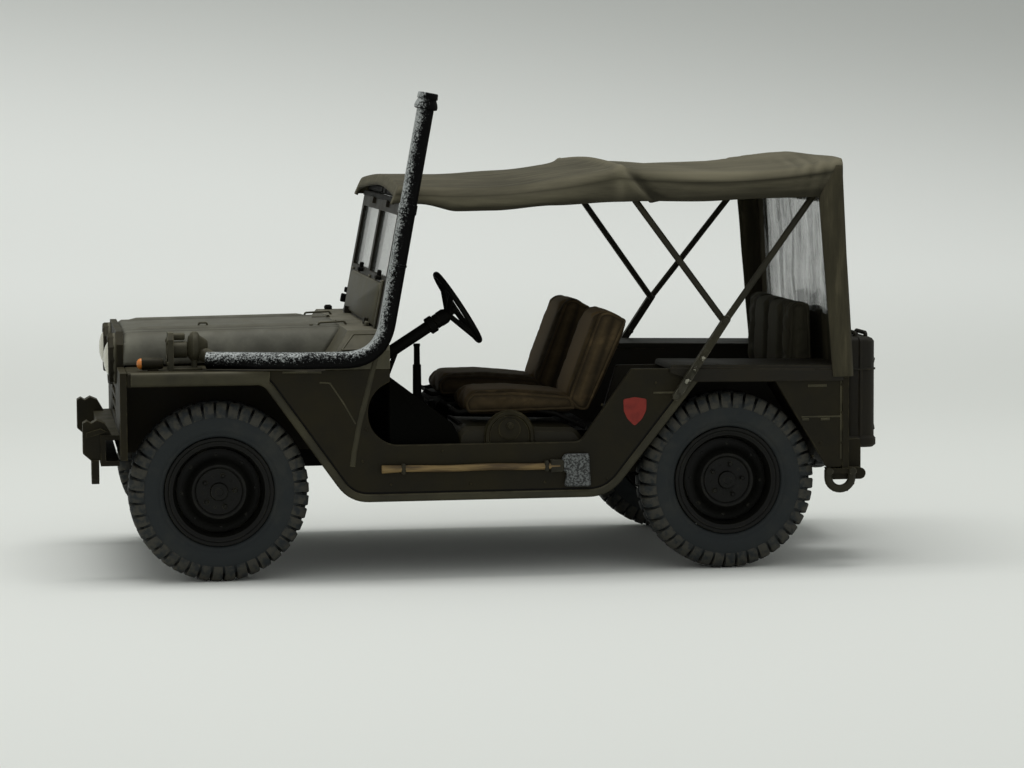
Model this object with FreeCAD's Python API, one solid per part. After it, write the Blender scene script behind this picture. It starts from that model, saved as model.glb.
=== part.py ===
import FreeCAD, Part
import os
from math import atan2, cos, degrees, hypot, pi, radians, sin, tan

# A light army 4x4 car as a painted 1:35 scale model, standing on its own four wheels.
# The frame has +X forward, +Y to the car's left and +Z up, with the ground at z = 0.
# Stations are millimetres measured back from the front axle, so a larger station is
# further to the rear. at() turns a station into X, and rear() gives the station of a
# place measured from the rear axle. Heights in the body are drawn with the wheel
# centres at WHEEL_CENTRE, and the whole car is lifted at the end to stand on its tyres.

# Overall reach
FRONT_REACH = 15.9        # front axle to the front of the bumper hooks
CAN_REACH = 20.5          # rear axle to the back of the fuel can's tray

# Wheels
WHEELBASE = 61.7
WHEEL_INSET = 3.3         # body side in to the wheels' middle planes
TYRE_RADIUS = 10.75
TYRE_WIDTH = 5.2
TYRE_SEAT = 5.9           # radius where the tyre sits on its rim
RIM_RADIUS = 6.5
LUGS = 26
LUG_DEPTH = 0.8
LUG_SHARE = 0.62          # part of the pitch that is lug
AXLE_RADIUS = 0.9
WHEEL_CLEARANCE = 0.06
RIM_SIDES = 14
HUB_DEPTH = 0.9           # wheel's middle in to the back of its hub

# Body shell
WHEEL_CENTRE = 10.75      # height of the wheel centres in the body's drawing
HALF_WIDTH = 22.6
SKIN = 0.8
LIP_PROUD = 0.45
LIP_WIDTH = 1.1
FENDER_WIDTH = 9.0        # body side to the engine bay wall and the load bed wall
FENDER_ROOM = 3.7         # tyre tops to the fender tops
ARCH_REACH = 3.35         # tyre's front or rear to the slope of the wheel opening
ARCH_BACK = 1.35          # rear tyre's rear to the foot of its opening
COWL_RISE = 4.5           # fender tops to the top of the cowl
SHELF_DROP = 0.2          # fender tops down to the rear shelves
ARCH_ROOM = 1.9           # shelf top down to the top of the rear wheel opening
SILL_BOTTOM = 9.2
DOOR_SILL = 16.0
FRONT_FACE = -11.6        # station of the front panel's face
FENDER_END = 5.2          # station where the front fender turns down
FENDER_ROUND = 1.0
COWL_FRONT = 12.6
COWL_REAR = 20.4
FIREWALL = 16.9           # station of the firewall's rear face
REAR_OVERHANG = 14.8      # rear axle to the rear panel's face
PANEL_BOTTOM = 14.9
HOOD_GAP = 0.5            # engine bay wall to the hood's side
HOOD_DROP = 0.3           # cowl top down to the hood's front edge
HOOD_ROUND = 1.5
HOOD_REAR = 15.6
FLOOR_TOP = 11.8
REAR_FLOOR_TOP = 14.6
BED_PAD = 0.3             # raised middle of the load bed
TUNNEL_HALF = 5.2
TUNNEL_TOP = 15.6

# Head lamps
LAMP_INSET = 3.5          # hood's side in to the lamp's centre
LAMP_DROP = 3.4           # hood front edge down to the lamp's centre
LAMP_RADIUS = 2.55
LAMP_RING = 3.1
LAMP_SIDES = 12

# Windshield
SCREEN_INSET = 2.1        # body side to the windshield's side
SCREEN_STATION = 19.2
SCREEN_PANEL = 6.1        # height of the closed lower panel
SCREEN_RISE = 15.3
SCREEN_RAKE = 11.0        # degrees back from vertical
SCREEN_THICK = 1.1
SCREEN_BAR = 1.7
GLASS_THICK = 0.4

# Canvas top
CANOPY_THICK = 0.8
CANOPY_FRONT = 22.4
CANOPY_PROUD = 0.3        # how far the canvas stands outside the body side
CANOPY_NARROW = 1.5       # how much narrower it is over the windshield
STRIP_BOTTOM = 23.3
CURTAIN_LEAN = 1.3        # rear panel's face forward to the canvas top's rear edge
WINDOW_LOW = 30.6
WINDOW_DROP = 1.0         # windshield top down to the rear window's upper edge
WINDOW_INSET = 4.3

# Bows
BOW_RADIUS = 0.55
BOW_BEND = 1.8
BOW_SIDES = 5
BOW_PROUD = 1.05          # body side out to the bow's feet
BOW_TOP_INSET = 1.9       # canvas side in to the bow's top corners
BOW_BAR = (1.5, 1.0)      # width and thickness of the main bow's flat lower bars
BOW_CROWN = 0.9           # rise of a bow's top bar at the centre
BOW_UNDER = 2.05          # windshield top up to the bows' top corners

# Fording pipe
PIPE_RADIUS = 1.02
PIPE_GAP = 0.06           # body side to the pipe
PIPE_STATION = 19.2       # station of the elbow
PIPE_RISE = 1.2           # fender top up to the pipe's centre line
PIPE_BEND = 5.3
PIPE_TIP = (24.8, 56.2)
PIPE_SIDES = 10
CAP_RADIUS = 1.4
CAP_HEIGHT = 1.75

# Seats
SEAT_INSET = 10.0         # body side to the middle of a front seat
SEAT_HALF = 5.3
SEAT_LEGROOM = 8.2        # cowl to the front of the cushions
SEAT_BEHIND = 18.0        # rear axle forward to the foot of the front seat backs
BENCH_GAP = 1.2           # load bed wall to the bench's side
SEAT_RISE = 6.3           # floor to the front seats' pans
BENCH_RISE = 2.5          # load bed to the top of the bench's pan

# Springs and steering
SPRING_RADIUS = 1.4
STEER_INSET = 12.6        # body side in to the steering wheel's middle
STEER_RADIUS = 5.2
STEER_GRIP = 0.36
STEER_HUB = (28.4, 30.4)
STEER_SLOPE = 32.5
STEER_DISH = 2.2
COLUMN_RADIUS = 0.6

# Rear fittings
CAN_INSET = 11.0          # body side in to the can's middle
CAN_LENGTH = 10.0
CAN_WIDTH = 4.7
CAN_BASE = 14.4
CAN_TALL = 12.0
SPARE_INSET = 10.4        # body side in to the spare wheel's middle
SPARE_Z = 19.0
TOW_EYE = 1.4
TOW_REACH = 2.7           # rear panel's face to the tow eye
TOW_Z = 12.6

AXLE_X = (WHEELBASE + CAN_REACH - FRONT_REACH) / 2.0
WHEEL_Y = HALF_WIDTH - WHEEL_INSET
FENDER_TOP = WHEEL_CENTRE + TYRE_RADIUS + FENDER_ROOM
COWL_TOP = FENDER_TOP + COWL_RISE
HOOD_TOP = COWL_TOP - HOOD_DROP
SHELF_TOP = FENDER_TOP - SHELF_DROP
ARCH_TOP = SHELF_TOP - ARCH_ROOM
INNER_WALL = HALF_WIDTH - FENDER_WIDTH
ARCH = TYRE_RADIUS + ARCH_REACH
BENCH_HALF = INNER_WALL - SKIN - BENCH_GAP
SEAT_PAN = FLOOR_TOP + SEAT_RISE
BENCH_PAN = REAR_FLOOR_TOP + BENCH_RISE
ARCH_FOOT = TYRE_RADIUS + ARCH_BACK
HOOD_HALF = INNER_WALL - HOOD_GAP
LAMP_Y = HOOD_HALF - LAMP_INSET
INSIDE = HALF_WIDTH - SKIN
SCREEN_HALF = HALF_WIDTH - SCREEN_INSET
SCREEN_TOP = COWL_TOP + SCREEN_RISE
CANOPY_HALF = HALF_WIDTH + CANOPY_PROUD
CAN_Y = HALF_WIDTH - CAN_INSET
STEER_Y = HALF_WIDTH - STEER_INSET
SPARE_Y = SPARE_INSET - HALF_WIDTH
LAMP_Z = HOOD_TOP - LAMP_DROP
PIPE_Y = HALF_WIDTH + PIPE_RADIUS + PIPE_GAP
PIPE_Z = FENDER_TOP + PIPE_RISE
BOW_FOOT_Y = HALF_WIDTH + BOW_PROUD

V = FreeCAD.Vector


def at(station):
    """X of a station."""
    return AXLE_X - station


def rear(offset):
    """Station of a place behind the rear axle, or ahead of it where offset is negative."""
    return WHEELBASE + offset


REAR_FACE = rear(REAR_OVERHANG)
FLOOR_STEP = rear(-11.7)
SEAT_FRONT = COWL_REAR + SEAT_LEGROOM
SEAT_REAR = rear(-SEAT_BEHIND)
CANOPY_REAR = REAR_FACE - CURTAIN_LEAN
CURTAIN_FOOT = REAR_FACE + 0.4
BOW_FOOT = (rear(-5.8), SHELF_TOP - 3.8)
BOW_PIVOT = (rear(-5.1), SHELF_TOP - 2.6)
BOW_JOINT = (rear(-0.8), SHELF_TOP + 5.3)
MAIN_BOW_TOP = (rear(12.0), SCREEN_TOP + BOW_UNDER)
FRONT_BOW_TOP = (rear(-12.9), SCREEN_TOP + BOW_UNDER)


# Shapes used in several places

def box(s0, s1, y0, y1, z0, z1):
    """Block between two stations."""
    return Part.makeBox(s1 - s0, y1 - y0, z1 - z0, V(at(s1), y0, z0))


def pair(shape):
    """The shape and its mirror image on the other side of the car, as two solids."""
    return Part.makeCompound([shape, mirrored(shape)])


def mirrored(shape):
    return shape.mirror(V(0, 0, 0), V(0, 1, 0))


def fuse(shapes):
    whole = shapes[0]
    for shape in shapes[1:]:
        whole = whole.fuse(shape)
    return whole.removeSplitter()


def both(shape):
    """The shape and its mirror image as a list, for fusing."""
    return [shape, mirrored(shape)]


def outline(points):
    """Closed side-view wire in the plane y = 0 through points of (station, z). A point
    with a third value, (station, z, (mid_station, mid_z)), ends an arc through mid."""
    edges = []
    last = points[-1]
    for point in points:
        a = V(at(last[0]), 0, last[1])
        b = V(at(point[0]), 0, point[1])
        if len(point) == 3:
            mid = V(at(point[2][0]), 0, point[2][1])
            edges.append(Part.Arc(a, mid, b).toShape())
        else:
            edges.append(Part.makeLine(a, b))
        last = point
    return Part.Wire(edges)


def plate(points, y0, y1):
    """Side-view outline extruded across the car from y0 to y1."""
    face = Part.Face(outline(points))
    face.translate(V(0, y0, 0))
    return face.extrude(V(0, y1 - y0, 0))


def slab(points, s0, s1):
    """Front-view outline of (y, z) points, extruded from station s0 to s1."""
    wire = Part.makePolygon([V(at(s0), y, z) for y, z in points + points[:1]])
    return Part.Face(wire).extrude(V(s0 - s1, 0, 0))


def plan(points, z0, z1):
    """Outline of (station, y) points seen from above, extruded from z0 to z1."""
    wire = Part.makePolygon([V(at(s), y, z0) for s, y in points + points[:1]])
    return Part.Face(wire).extrude(V(0, 0, z1 - z0))


def ring(centre, axis, radius, sides):
    """Corners of a regular polygon about an axis."""
    across = V(0, 0, 1) if abs(axis.y) > 0.9 else V(0, 1, 0)
    across = (across - axis * across.dot(axis)).normalize()
    other = axis.cross(across)
    turns = [2 * pi * i / sides for i in range(sides)]
    return [centre + (across * cos(a) + other * sin(a)) * radius for a in turns]


def flats(origin, axis, profile, sides):
    """Turned solid in flat facets. The profile is a closed loop of (distance along the
    axis, radius), and where the radius is 0 the facets meet on the axis."""
    rings = [ring(origin + axis * distance, axis, max(radius, 1e-9), sides)
             for distance, radius in profile]
    faces = []
    for k, (_, radius) in enumerate(profile):
        after = (k + 1) % len(profile)
        for i in range(sides):
            j = (i + 1) % sides
            first = [rings[k][i], rings[k][j]] if radius > 0 else [rings[k][i]]
            second = [rings[after][j], rings[after][i]] if profile[after][1] > 0 else [rings[after][i]]
            corners = first + second
            if len(corners) > 2:
                faces.append(Part.Face(Part.makePolygon(corners + corners[:1])))
    solid = Part.Solid(Part.Shell(faces))
    if solid.Volume < 0:
        solid.reverse()
    return solid.removeSplitter()


def skinned(bands):
    """Solid in flat triangles through loops of points, one loop at each station."""
    faces = [Part.Face(Part.makePolygon(band + band[:1])) for band in (bands[0], bands[-1])]
    for first, second in zip(bands, bands[1:]):
        for i in range(len(first)):
            j = (i + 1) % len(first)
            for corners in ([first[i], first[j], second[j]], [first[i], second[j], second[i]]):
                faces.append(Part.Face(Part.makePolygon(corners + corners[:1])))
    solid = Part.Solid(Part.Shell(faces))
    if solid.Volume < 0:
        solid.reverse()
    return solid


def rod(points, radius, bend, sides):
    """Bar with flat sides through points of (station, y, z), with tangent bends."""
    path = [V(at(p[0]), p[1], p[2]) for p in points]
    here = path[0]
    before = (path[1] - path[0]).normalize()
    corners = ring(here, before, radius, sides)
    face = Part.Face(Part.makePolygon(corners + corners[:1]))
    pieces = []
    for i in range(1, len(path) - 1):
        after = (path[i + 1] - path[i]).normalize()
        turn = before.getAngle(after)
        end = path[i] - before * (bend * tan(turn / 2))
        pieces.append(face.extrude(end - here))
        face.translate(end - here)
        normal = before.cross(after).normalize()
        centre = end + normal.cross(before) * bend
        pieces.append(face.revolve(centre, normal, degrees(turn)))
        face.rotate(centre, normal, degrees(turn))
        here = path[i] + after * (bend * tan(turn / 2))
        before = after
    pieces.append(face.extrude(path[-1] - here))
    return fuse(pieces)


def bar(a, b, radius, sides=8):
    """Straight bar with flat sides between two points of (station, y, z)."""
    p = V(at(a[0]), a[1], a[2])
    q = V(at(b[0]), b[1], b[2])
    corners = ring(p, (q - p).normalize(), radius, sides)
    return Part.Face(Part.makePolygon(corners + corners[:1])).extrude(q - p)


def spool(station, y0, y1, z, radius):
    """True cylinder along Y, for shafts and their bores."""
    return Part.makeCylinder(radius, y1 - y0, V(at(station), y0, z), V(0, 1, 0))


def along(shape, degrees_back, station, z):
    """Leans a shape back about the line along Y through (station, z)."""
    out = shape.copy()
    out.rotate(V(at(station), 0, z), V(0, 1, 0), -degrees_back)
    return out


# Body

def door_edge():
    """Door opening from the cowl's rear edge, round the front curve and along the sill
    to the slope behind the seats."""
    return [(COWL_REAR, FENDER_TOP - 1.4),
            (COWL_REAR + 0.6, DOOR_SILL, (COWL_REAR - 2.7, (FENDER_TOP - 1.4 + DOOR_SILL) / 2)),
            (rear(-18.4), DOOR_SILL),
            (rear(-12.3), SHELF_TOP - SKIN)]


def arch_line(offset):
    """Underside of the body from the front fender's turn to the top of the rear arch,
    moved in from the wheel openings and the sill's bottom by offset."""
    return [(FENDER_END + 0.1 + 1.1 * offset, FENDER_TOP - 1.7 + 0.6 * offset),
            (ARCH + offset, 11.4 + 0.5 * offset),
            (ARCH + 2.2 + 0.4 * offset, SILL_BOTTOM + offset),
            (rear(-ARCH - 2.9) - 0.4 * offset, SILL_BOTTOM + offset),
            (rear(-ARCH) - 0.9 * offset, 10.6 + 0.6 * offset),
            (rear(-4.3) - offset, ARCH_TOP)]


def fender_nose():
    """Rounded front corner of the fender's top, from the front face to the flat."""
    front = FRONT_FACE + SKIN
    corner = FENDER_ROUND * (1 - cos(pi / 4))
    return [(front, FENDER_TOP - FENDER_ROUND),
            (front + FENDER_ROUND, FENDER_TOP, (front + corner, FENDER_TOP - corner))]


def body_side():
    """Left side: cowl side, sill and rear quarter in one skin with the front fender. A
    proud lip runs round the front fender, the sill and the rear arch."""
    front = FRONT_FACE + SKIN
    back = REAR_FACE - SKIN
    under = list(reversed(arch_line(0.0)))
    foot = (front, FENDER_TOP - 1.5)
    skin = plate([foot] + fender_nose() + [(COWL_REAR, FENDER_TOP)] + door_edge()
                 + [(back, SHELF_TOP - SKIN), (back, 12.2), (rear(ARCH_FOOT), 12.1), (rear(5.5), ARCH_TOP)]
                 + under, INSIDE, HALF_WIDTH)
    lip = plate([foot] + fender_nose() + [(FENDER_END - 0.4, FENDER_TOP)]
                + arch_line(LIP_WIDTH) + under, HALF_WIDTH, HALF_WIDTH + LIP_PROUD)
    top = plate(fender_nose() + [(COWL_REAR, FENDER_TOP), (COWL_REAR, FENDER_TOP - SKIN),
                                 (front + SKIN, FENDER_TOP - SKIN),
                                 (front + SKIN, FENDER_TOP - FENDER_ROUND)],
                INNER_WALL - SKIN, INSIDE)
    return fuse([skin, lip, top])


def wheel_box():
    """Left rear wheel box: load bed wall, arch liner and the flat shelf over it."""
    low = FLOOR_TOP - SKIN
    under = SHELF_TOP - SKIN
    wall = plate([(rear(-16.3), low), (rear(-12.3), under), (REAR_FACE - SKIN, under),
                  (REAR_FACE - SKIN, 12.2), (rear(-10.5), 12.2), (rear(-11.5), low)],
                 INNER_WALL - SKIN, INNER_WALL)
    liner = plate([(rear(-ARCH), 10.9), (rear(-4.6), under - 0.8), (rear(5.7), under - 0.8),
                   (rear(ARCH_FOOT + 0.2), 12.4), (rear(ARCH_FOOT + 1.1), 12.4),
                   (rear(ARCH_FOOT + 1.1), 12.9), (rear(6.2), under),
                   (rear(-5.0), under), (rear(-ARCH - 0.9), 11.4)], INNER_WALL, INSIDE)
    shelf = box(rear(-12.3), REAR_FACE - SKIN, INNER_WALL - SKIN, HALF_WIDTH + LIP_PROUD,
                under, SHELF_TOP)
    drop = box(rear(-8.4), REAR_FACE - SKIN, HALF_WIDTH, HALF_WIDTH + LIP_PROUD, under - 1.0, under)
    return fuse([wall, liner, shelf, drop])


def pedal(y):
    """Hanging pedal: stem from the toe board and its pad."""
    stem = bar((18.2, y, 15.1), (20.6, y, 15.6), 0.2, 6)
    pad = box(20.5, 20.8, y - 0.6, y + 0.6, 14.9, 16.4)
    return [stem, pad]


def floor_pan():
    """Floor with its tunnel, toe board, firewall and pedals, between the body sides."""
    low = FLOOR_TOP - SKIN
    bed_half = INNER_WALL - SKIN
    floor = box(20.6, FLOOR_STEP, -INSIDE, INSIDE, low, FLOOR_TOP)
    notch = box(rear(-16.7), FLOOR_STEP, bed_half, INSIDE, low - SKIN, FLOOR_TOP + SKIN)
    floor = floor.cut(notch).cut(mirrored(notch))
    step = box(FLOOR_STEP - SKIN, FLOOR_STEP, -bed_half, bed_half, low, REAR_FLOOR_TOP)
    bed = box(FLOOR_STEP, REAR_FACE - SKIN, -bed_half, bed_half, REAR_FLOOR_TOP - SKIN, REAR_FLOOR_TOP)
    pad = box(rear(-10.9), rear(-2.1), -bed_half + 1.2, bed_half - 1.2, REAR_FLOOR_TOP,
              REAR_FLOOR_TOP + BED_PAD)
    toe = plate([(20.6, low), (20.6, FLOOR_TOP), (FIREWALL, 18.0), (FIREWALL, FENDER_TOP - SKIN),
                 (FIREWALL - SKIN, FENDER_TOP - SKIN), (FIREWALL - SKIN, 17.8), (19.7, low)],
                -INSIDE, INSIDE)
    wheel_room = box(10.0, 17.0, INNER_WALL, INSIDE, 8.0, 17.6)
    toe = toe.cut(wheel_room).cut(mirrored(wheel_room))
    hollow = box(15.0, FLOOR_STEP + SKIN, -TUNNEL_HALF + SKIN, TUNNEL_HALF - SKIN,
                 low - SKIN, TUNNEL_TOP - SKIN)
    tunnel = box(18.0, FLOOR_STEP, -TUNNEL_HALF, TUNNEL_HALF, low, TUNNEL_TOP)
    shell = fuse([floor, step, bed, pad, toe, tunnel]).cut(hollow)
    pedals = [piece for y in (7.0, 9.4, 12.0) for piece in pedal(y)]
    return fuse([shell] + pedals)


def inner_fenders():
    """Engine bay walls inside the front wheels, left and right."""
    front = FRONT_FACE + SKIN
    back = FIREWALL - SKIN
    wall = plate([(front, PANEL_BOTTOM), (front, FENDER_TOP - FENDER_ROUND),
                  (front + SKIN, FENDER_TOP - FENDER_ROUND), (front + SKIN, FENDER_TOP - SKIN),
                  (back, FENDER_TOP - SKIN), (back, PANEL_BOTTOM)], INNER_WALL - SKIN, INNER_WALL)
    return pair(wall)


def cowl():
    """Box below the windshield with sloped shoulders, and the gauge panel behind it."""
    shoulder = COWL_TOP - 2.3
    block = slab([(-HALF_WIDTH, FENDER_TOP), (-HALF_WIDTH, shoulder), (-SCREEN_HALF, COWL_TOP),
                  (SCREEN_HALF, COWL_TOP), (HALF_WIDTH, shoulder), (HALF_WIDTH, FENDER_TOP)],
                 COWL_FRONT, COWL_REAR)
    front_slope = plate([(COWL_FRONT - 0.6, FENDER_TOP - 1), (COWL_FRONT, FENDER_TOP),
                         (HOOD_REAR, COWL_TOP), (HOOD_REAR + 0.6, COWL_TOP + 1),
                         (COWL_FRONT - 0.6, COWL_TOP + 1)], -HALF_WIDTH - 1, HALF_WIDTH + 1)
    inside = plate([(14.4, FENDER_TOP - 1), (14.4, FENDER_TOP + 0.8), (16.6, COWL_TOP - SKIN),
                    (COWL_REAR - SKIN, COWL_TOP - SKIN), (COWL_REAR - SKIN, FENDER_TOP - 1)],
                   -SCREEN_HALF + 0.1, SCREEN_HALF - 0.1)
    gauges = box(COWL_REAR, COWL_REAR + 0.5, -1.5, 6.5, COWL_TOP - 3.4, COWL_TOP - 0.8)
    shell = block.cut(front_slope).cut(inside)
    return fuse([shell, gauges]).cut(steering_column(COLUMN_RADIUS + 0.1))


def hood():
    """Hood pressed with rounded shoulders and two raised ribs, open below, with its two
    rear hinges."""
    front = FRONT_FACE + SKIN
    length = HOOD_REAR - front
    low = FENDER_TOP - 1.0

    def section(half, top, corner):
        shoulder = [(half - corner * (1 - cos(a)), top - corner * (1 - sin(a)))
                    for a in (0.0, pi / 6, pi / 3, pi / 2)]
        loop = [(half, low)] + shoulder + [(-y, z) for y, z in reversed(shoulder)] + [(-half, low)]
        points = [V(at(front), y, z) for y, z in loop]
        return Part.Face(Part.makePolygon(points + points[:1]))

    rise = V(-length, 0, HOOD_DROP)
    shell = section(HOOD_HALF, HOOD_TOP, HOOD_ROUND).extrude(rise)
    inner = section(HOOD_HALF - SKIN, HOOD_TOP - SKIN, HOOD_ROUND - SKIN / 2).extrude(rise)
    below = box(front - 1, HOOD_REAR + 1, -HOOD_HALF - 1, HOOD_HALF + 1, low - 1, FENDER_TOP)
    slope = plate([(COWL_FRONT, FENDER_TOP - 1), (COWL_FRONT, FENDER_TOP), (HOOD_REAR, COWL_TOP),
                   (HOOD_REAR, COWL_TOP + 1), (HOOD_REAR + 2, COWL_TOP + 1),
                   (HOOD_REAR + 2, FENDER_TOP - 1)], -HOOD_HALF - 1, HOOD_HALF + 1)
    shell = shell.cut(inner).cut(below).cut(slope)
    ribs = []
    for y in (-8.6, 8.6):
        rib = plate([(-8.5, HOOD_TOP - 0.2), (-8.0, HOOD_TOP + 0.3), (12.6, HOOD_TOP + 0.5),
                     (13.1, HOOD_TOP - 0.2)], y - 0.6, y + 0.6)
        ribs.append(rib)
    hinges = [box(HOOD_REAR - 1.8, HOOD_REAR - 0.4, y - 0.7, y + 0.7, COWL_TOP - 0.3, COWL_TOP + 0.35)
              for y in (-5.0, 5.0)]
    return fuse([shell] + ribs + hinges)


def grille():
    """Front panel, full width below the fenders and as tall as the hood in the middle,
    with a slatted opening between the two ringed lamps."""
    back = FRONT_FACE + SKIN
    top_round = HOOD_ROUND
    half = [(HALF_WIDTH, PANEL_BOTTOM), (HALF_WIDTH, FENDER_TOP), (HOOD_HALF, FENDER_TOP),
            (HOOD_HALF, HOOD_TOP - top_round), (HOOD_HALF - top_round, HOOD_TOP)]
    panel = slab(half + [(-y, z) for y, z in reversed(half)], FRONT_FACE, back)
    slats = 7
    low = PANEL_BOTTOM + 3.5
    pitch = (HOOD_TOP - 1.4 - low) / slats
    opening = LAMP_Y - LAMP_RING - 0.6
    for i in range(slats):
        z = low + i * pitch
        panel = panel.cut(box(FRONT_FACE - 1, back + 1, -opening, opening, z, z + 0.62 * pitch))
    forward = V(1, 0, 0)
    face = V(at(FRONT_FACE), LAMP_Y, LAMP_Z)
    surround = flats(face, forward, [(-0.1, LAMP_RADIUS), (-0.1, LAMP_RING), (0.8, LAMP_RING),
                                     (1.0, LAMP_RING - 0.15), (1.0, LAMP_RADIUS)], LAMP_SIDES)
    hole = flats(face, forward, [(-2, 0), (-2, LAMP_RADIUS), (2, LAMP_RADIUS), (2, 0)], LAMP_SIDES)
    panel = panel.cut(hole).cut(mirrored(hole))
    return fuse([panel] + both(surround))


def headlamp_lenses():
    """Domed lenses of the two head lamps, each on its shallow drum."""
    edge = LAMP_RADIUS - 0.03
    dome = [(-SKIN, 0), (-SKIN, edge), (0.9, edge), (1.25, edge * 0.72), (1.42, edge * 0.4), (1.48, 0)]
    return pair(flats(V(at(FRONT_FACE), LAMP_Y, LAMP_Z), V(1, 0, 0), dome, LAMP_SIDES))


def shackle(station, y0, y1, top, height, half, stock):
    """D-shaped lifting ring hanging in the plane of the body side."""
    low = top - height

    def loop(inset):
        side = half - inset
        return [(station - side, top - inset), (station - side, low + 0.9),
                (station - 0.5 * side, low + inset), (station + 0.5 * side, low + inset),
                (station + side, low + 0.9), (station + side, top - inset)]

    return plate(loop(0.0), y0, y1).cut(plate(loop(stock), y0 - 1, y1 + 1))


def rear_panel():
    """Flat rear panel between the body sides, with the corner bumpers and their lifting
    rings, the tail lamps, the spare wheel's carrier and the bumper post."""
    panel = box(REAR_FACE - SKIN, REAR_FACE, -HALF_WIDTH, HALF_WIDTH, 11.9, STRIP_BOTTOM - 0.1)
    corner = plate([(rear(12.2), 12.05), (rear(16.3), 12.05), (rear(16.3), 10.65, (rear(17.0), 11.35)),
                    (rear(12.7), 10.65)], HALF_WIDTH - 2.0, HALF_WIDTH - 0.3)
    hook = shackle(rear(13.7), HALF_WIDTH - 0.3, HALF_WIDTH + 0.3, 12.05, 2.8, 1.75, 0.6)
    lamp = flats(V(at(REAR_FACE - 0.1), HALF_WIDTH - 3.0, 17.4), V(-1, 0, 0),
                 [(0, 0), (0, 1.1), (0.45, 1.0), (0.45, 0)], 8)
    carrier = flats(V(at(REAR_FACE - 0.1), SPARE_Y, SPARE_Z), V(-1, 0, 0),
                    [(0, 0), (0, 2.6), (0.7, 1.7), (SPARE_GAP + 0.1, 1.7), (SPARE_GAP + 0.1, 0)], 8)
    post = box(REAR_FACE, REAR_FACE + 1.9, HALF_WIDTH - 3.2, HALF_WIDTH - 1.6, 11.0, 15.4)
    return fuse([panel, carrier, post] + both(corner) + both(hook) + both(lamp))


# Windshield

def screen_window(y0, y1, s0, s1):
    """Block that fills one window of the upright frame between two stations."""
    slope = cos(radians(SCREEN_RAKE))
    return box(s0, s1, y0, y1, COWL_TOP + SCREEN_PANEL / slope,
               COWL_TOP + SCREEN_RISE / slope - SCREEN_BAR)


SCREEN_PANES = ((-SCREEN_HALF + SCREEN_BAR, -SCREEN_BAR / 2), (SCREEN_BAR / 2, SCREEN_HALF - SCREEN_BAR))


def screen_frame():
    """Windshield: solid lower panel with its hinge straps, the outer bars, their side
    flanges and the bar between the two panes."""
    s0 = SCREEN_STATION
    s1 = s0 + SCREEN_THICK
    tall = SCREEN_RISE / cos(radians(SCREEN_RAKE))
    frame = box(s0, s1, -SCREEN_HALF, SCREEN_HALF, COWL_TOP, COWL_TOP + tall)
    for y0, y1 in SCREEN_PANES:
        frame = frame.cut(screen_window(y0, y1, s0 - 1, s1 + 1))
    flange = box(s1, s1 + 0.8, SCREEN_HALF - 0.7, SCREEN_HALF, COWL_TOP + 1.6, COWL_TOP + SCREEN_PANEL - 0.4)
    strap = box(s0 - 0.4, s0, 11.0, 12.4, COWL_TOP, COWL_TOP + 2.2)
    knuckle = box(s0 - 0.9, s0, 11.0, 12.4, COWL_TOP, COWL_TOP + 0.8)
    clip = box(s0 - 0.4, s0, 6.0, 9.0, COWL_TOP + tall - 1.1, COWL_TOP + tall - 0.3)
    whole = fuse([frame] + both(flange) + both(strap) + both(knuckle) + both(clip))
    below = box(s0 - 4, s0 + 5, -HALF_WIDTH, HALF_WIDTH, COWL_TOP - 3, COWL_TOP)
    return along(whole, SCREEN_RAKE, s0, COWL_TOP).cut(below)


def screen_glass():
    """Two panes set in the middle of the frame's thickness."""
    s0 = SCREEN_STATION + (SCREEN_THICK - GLASS_THICK) / 2
    panes = [screen_window(y0, y1, s0, s0 + GLASS_THICK) for y0, y1 in SCREEN_PANES]
    return Part.makeCompound([along(p, SCREEN_RAKE, SCREEN_STATION, COWL_TOP) for p in panes])


# Canvas top

FRONT_BAY = rear(-13.5) - CANOPY_FRONT
CANOPY_SECTIONS = [
    # station, half width, and lower edge, shoulder and crown above the windshield's top
    (CANOPY_FRONT, CANOPY_HALF - CANOPY_NARROW, -0.3, 1.9, 3.0),
    (CANOPY_FRONT + 0.4 * FRONT_BAY, CANOPY_HALF - 0.4, -1.1, 1.7, 3.0),
    (CANOPY_FRONT + 0.77 * FRONT_BAY, CANOPY_HALF, -0.5, 2.7, 3.9),
    (rear(-13.5), CANOPY_HALF, -0.2, 3.7, 4.6),
    (rear(-4.1), CANOPY_HALF, -0.2, 2.8, 4.0),
    (rear(4.7), CANOPY_HALF, 0.0, 3.3, 4.4),
    (CANOPY_REAR, CANOPY_HALF, 0.0, 4.4, 5.2)]
CANOPY_ROUND = 1.6        # width and height of the shoulder's bevel


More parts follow.
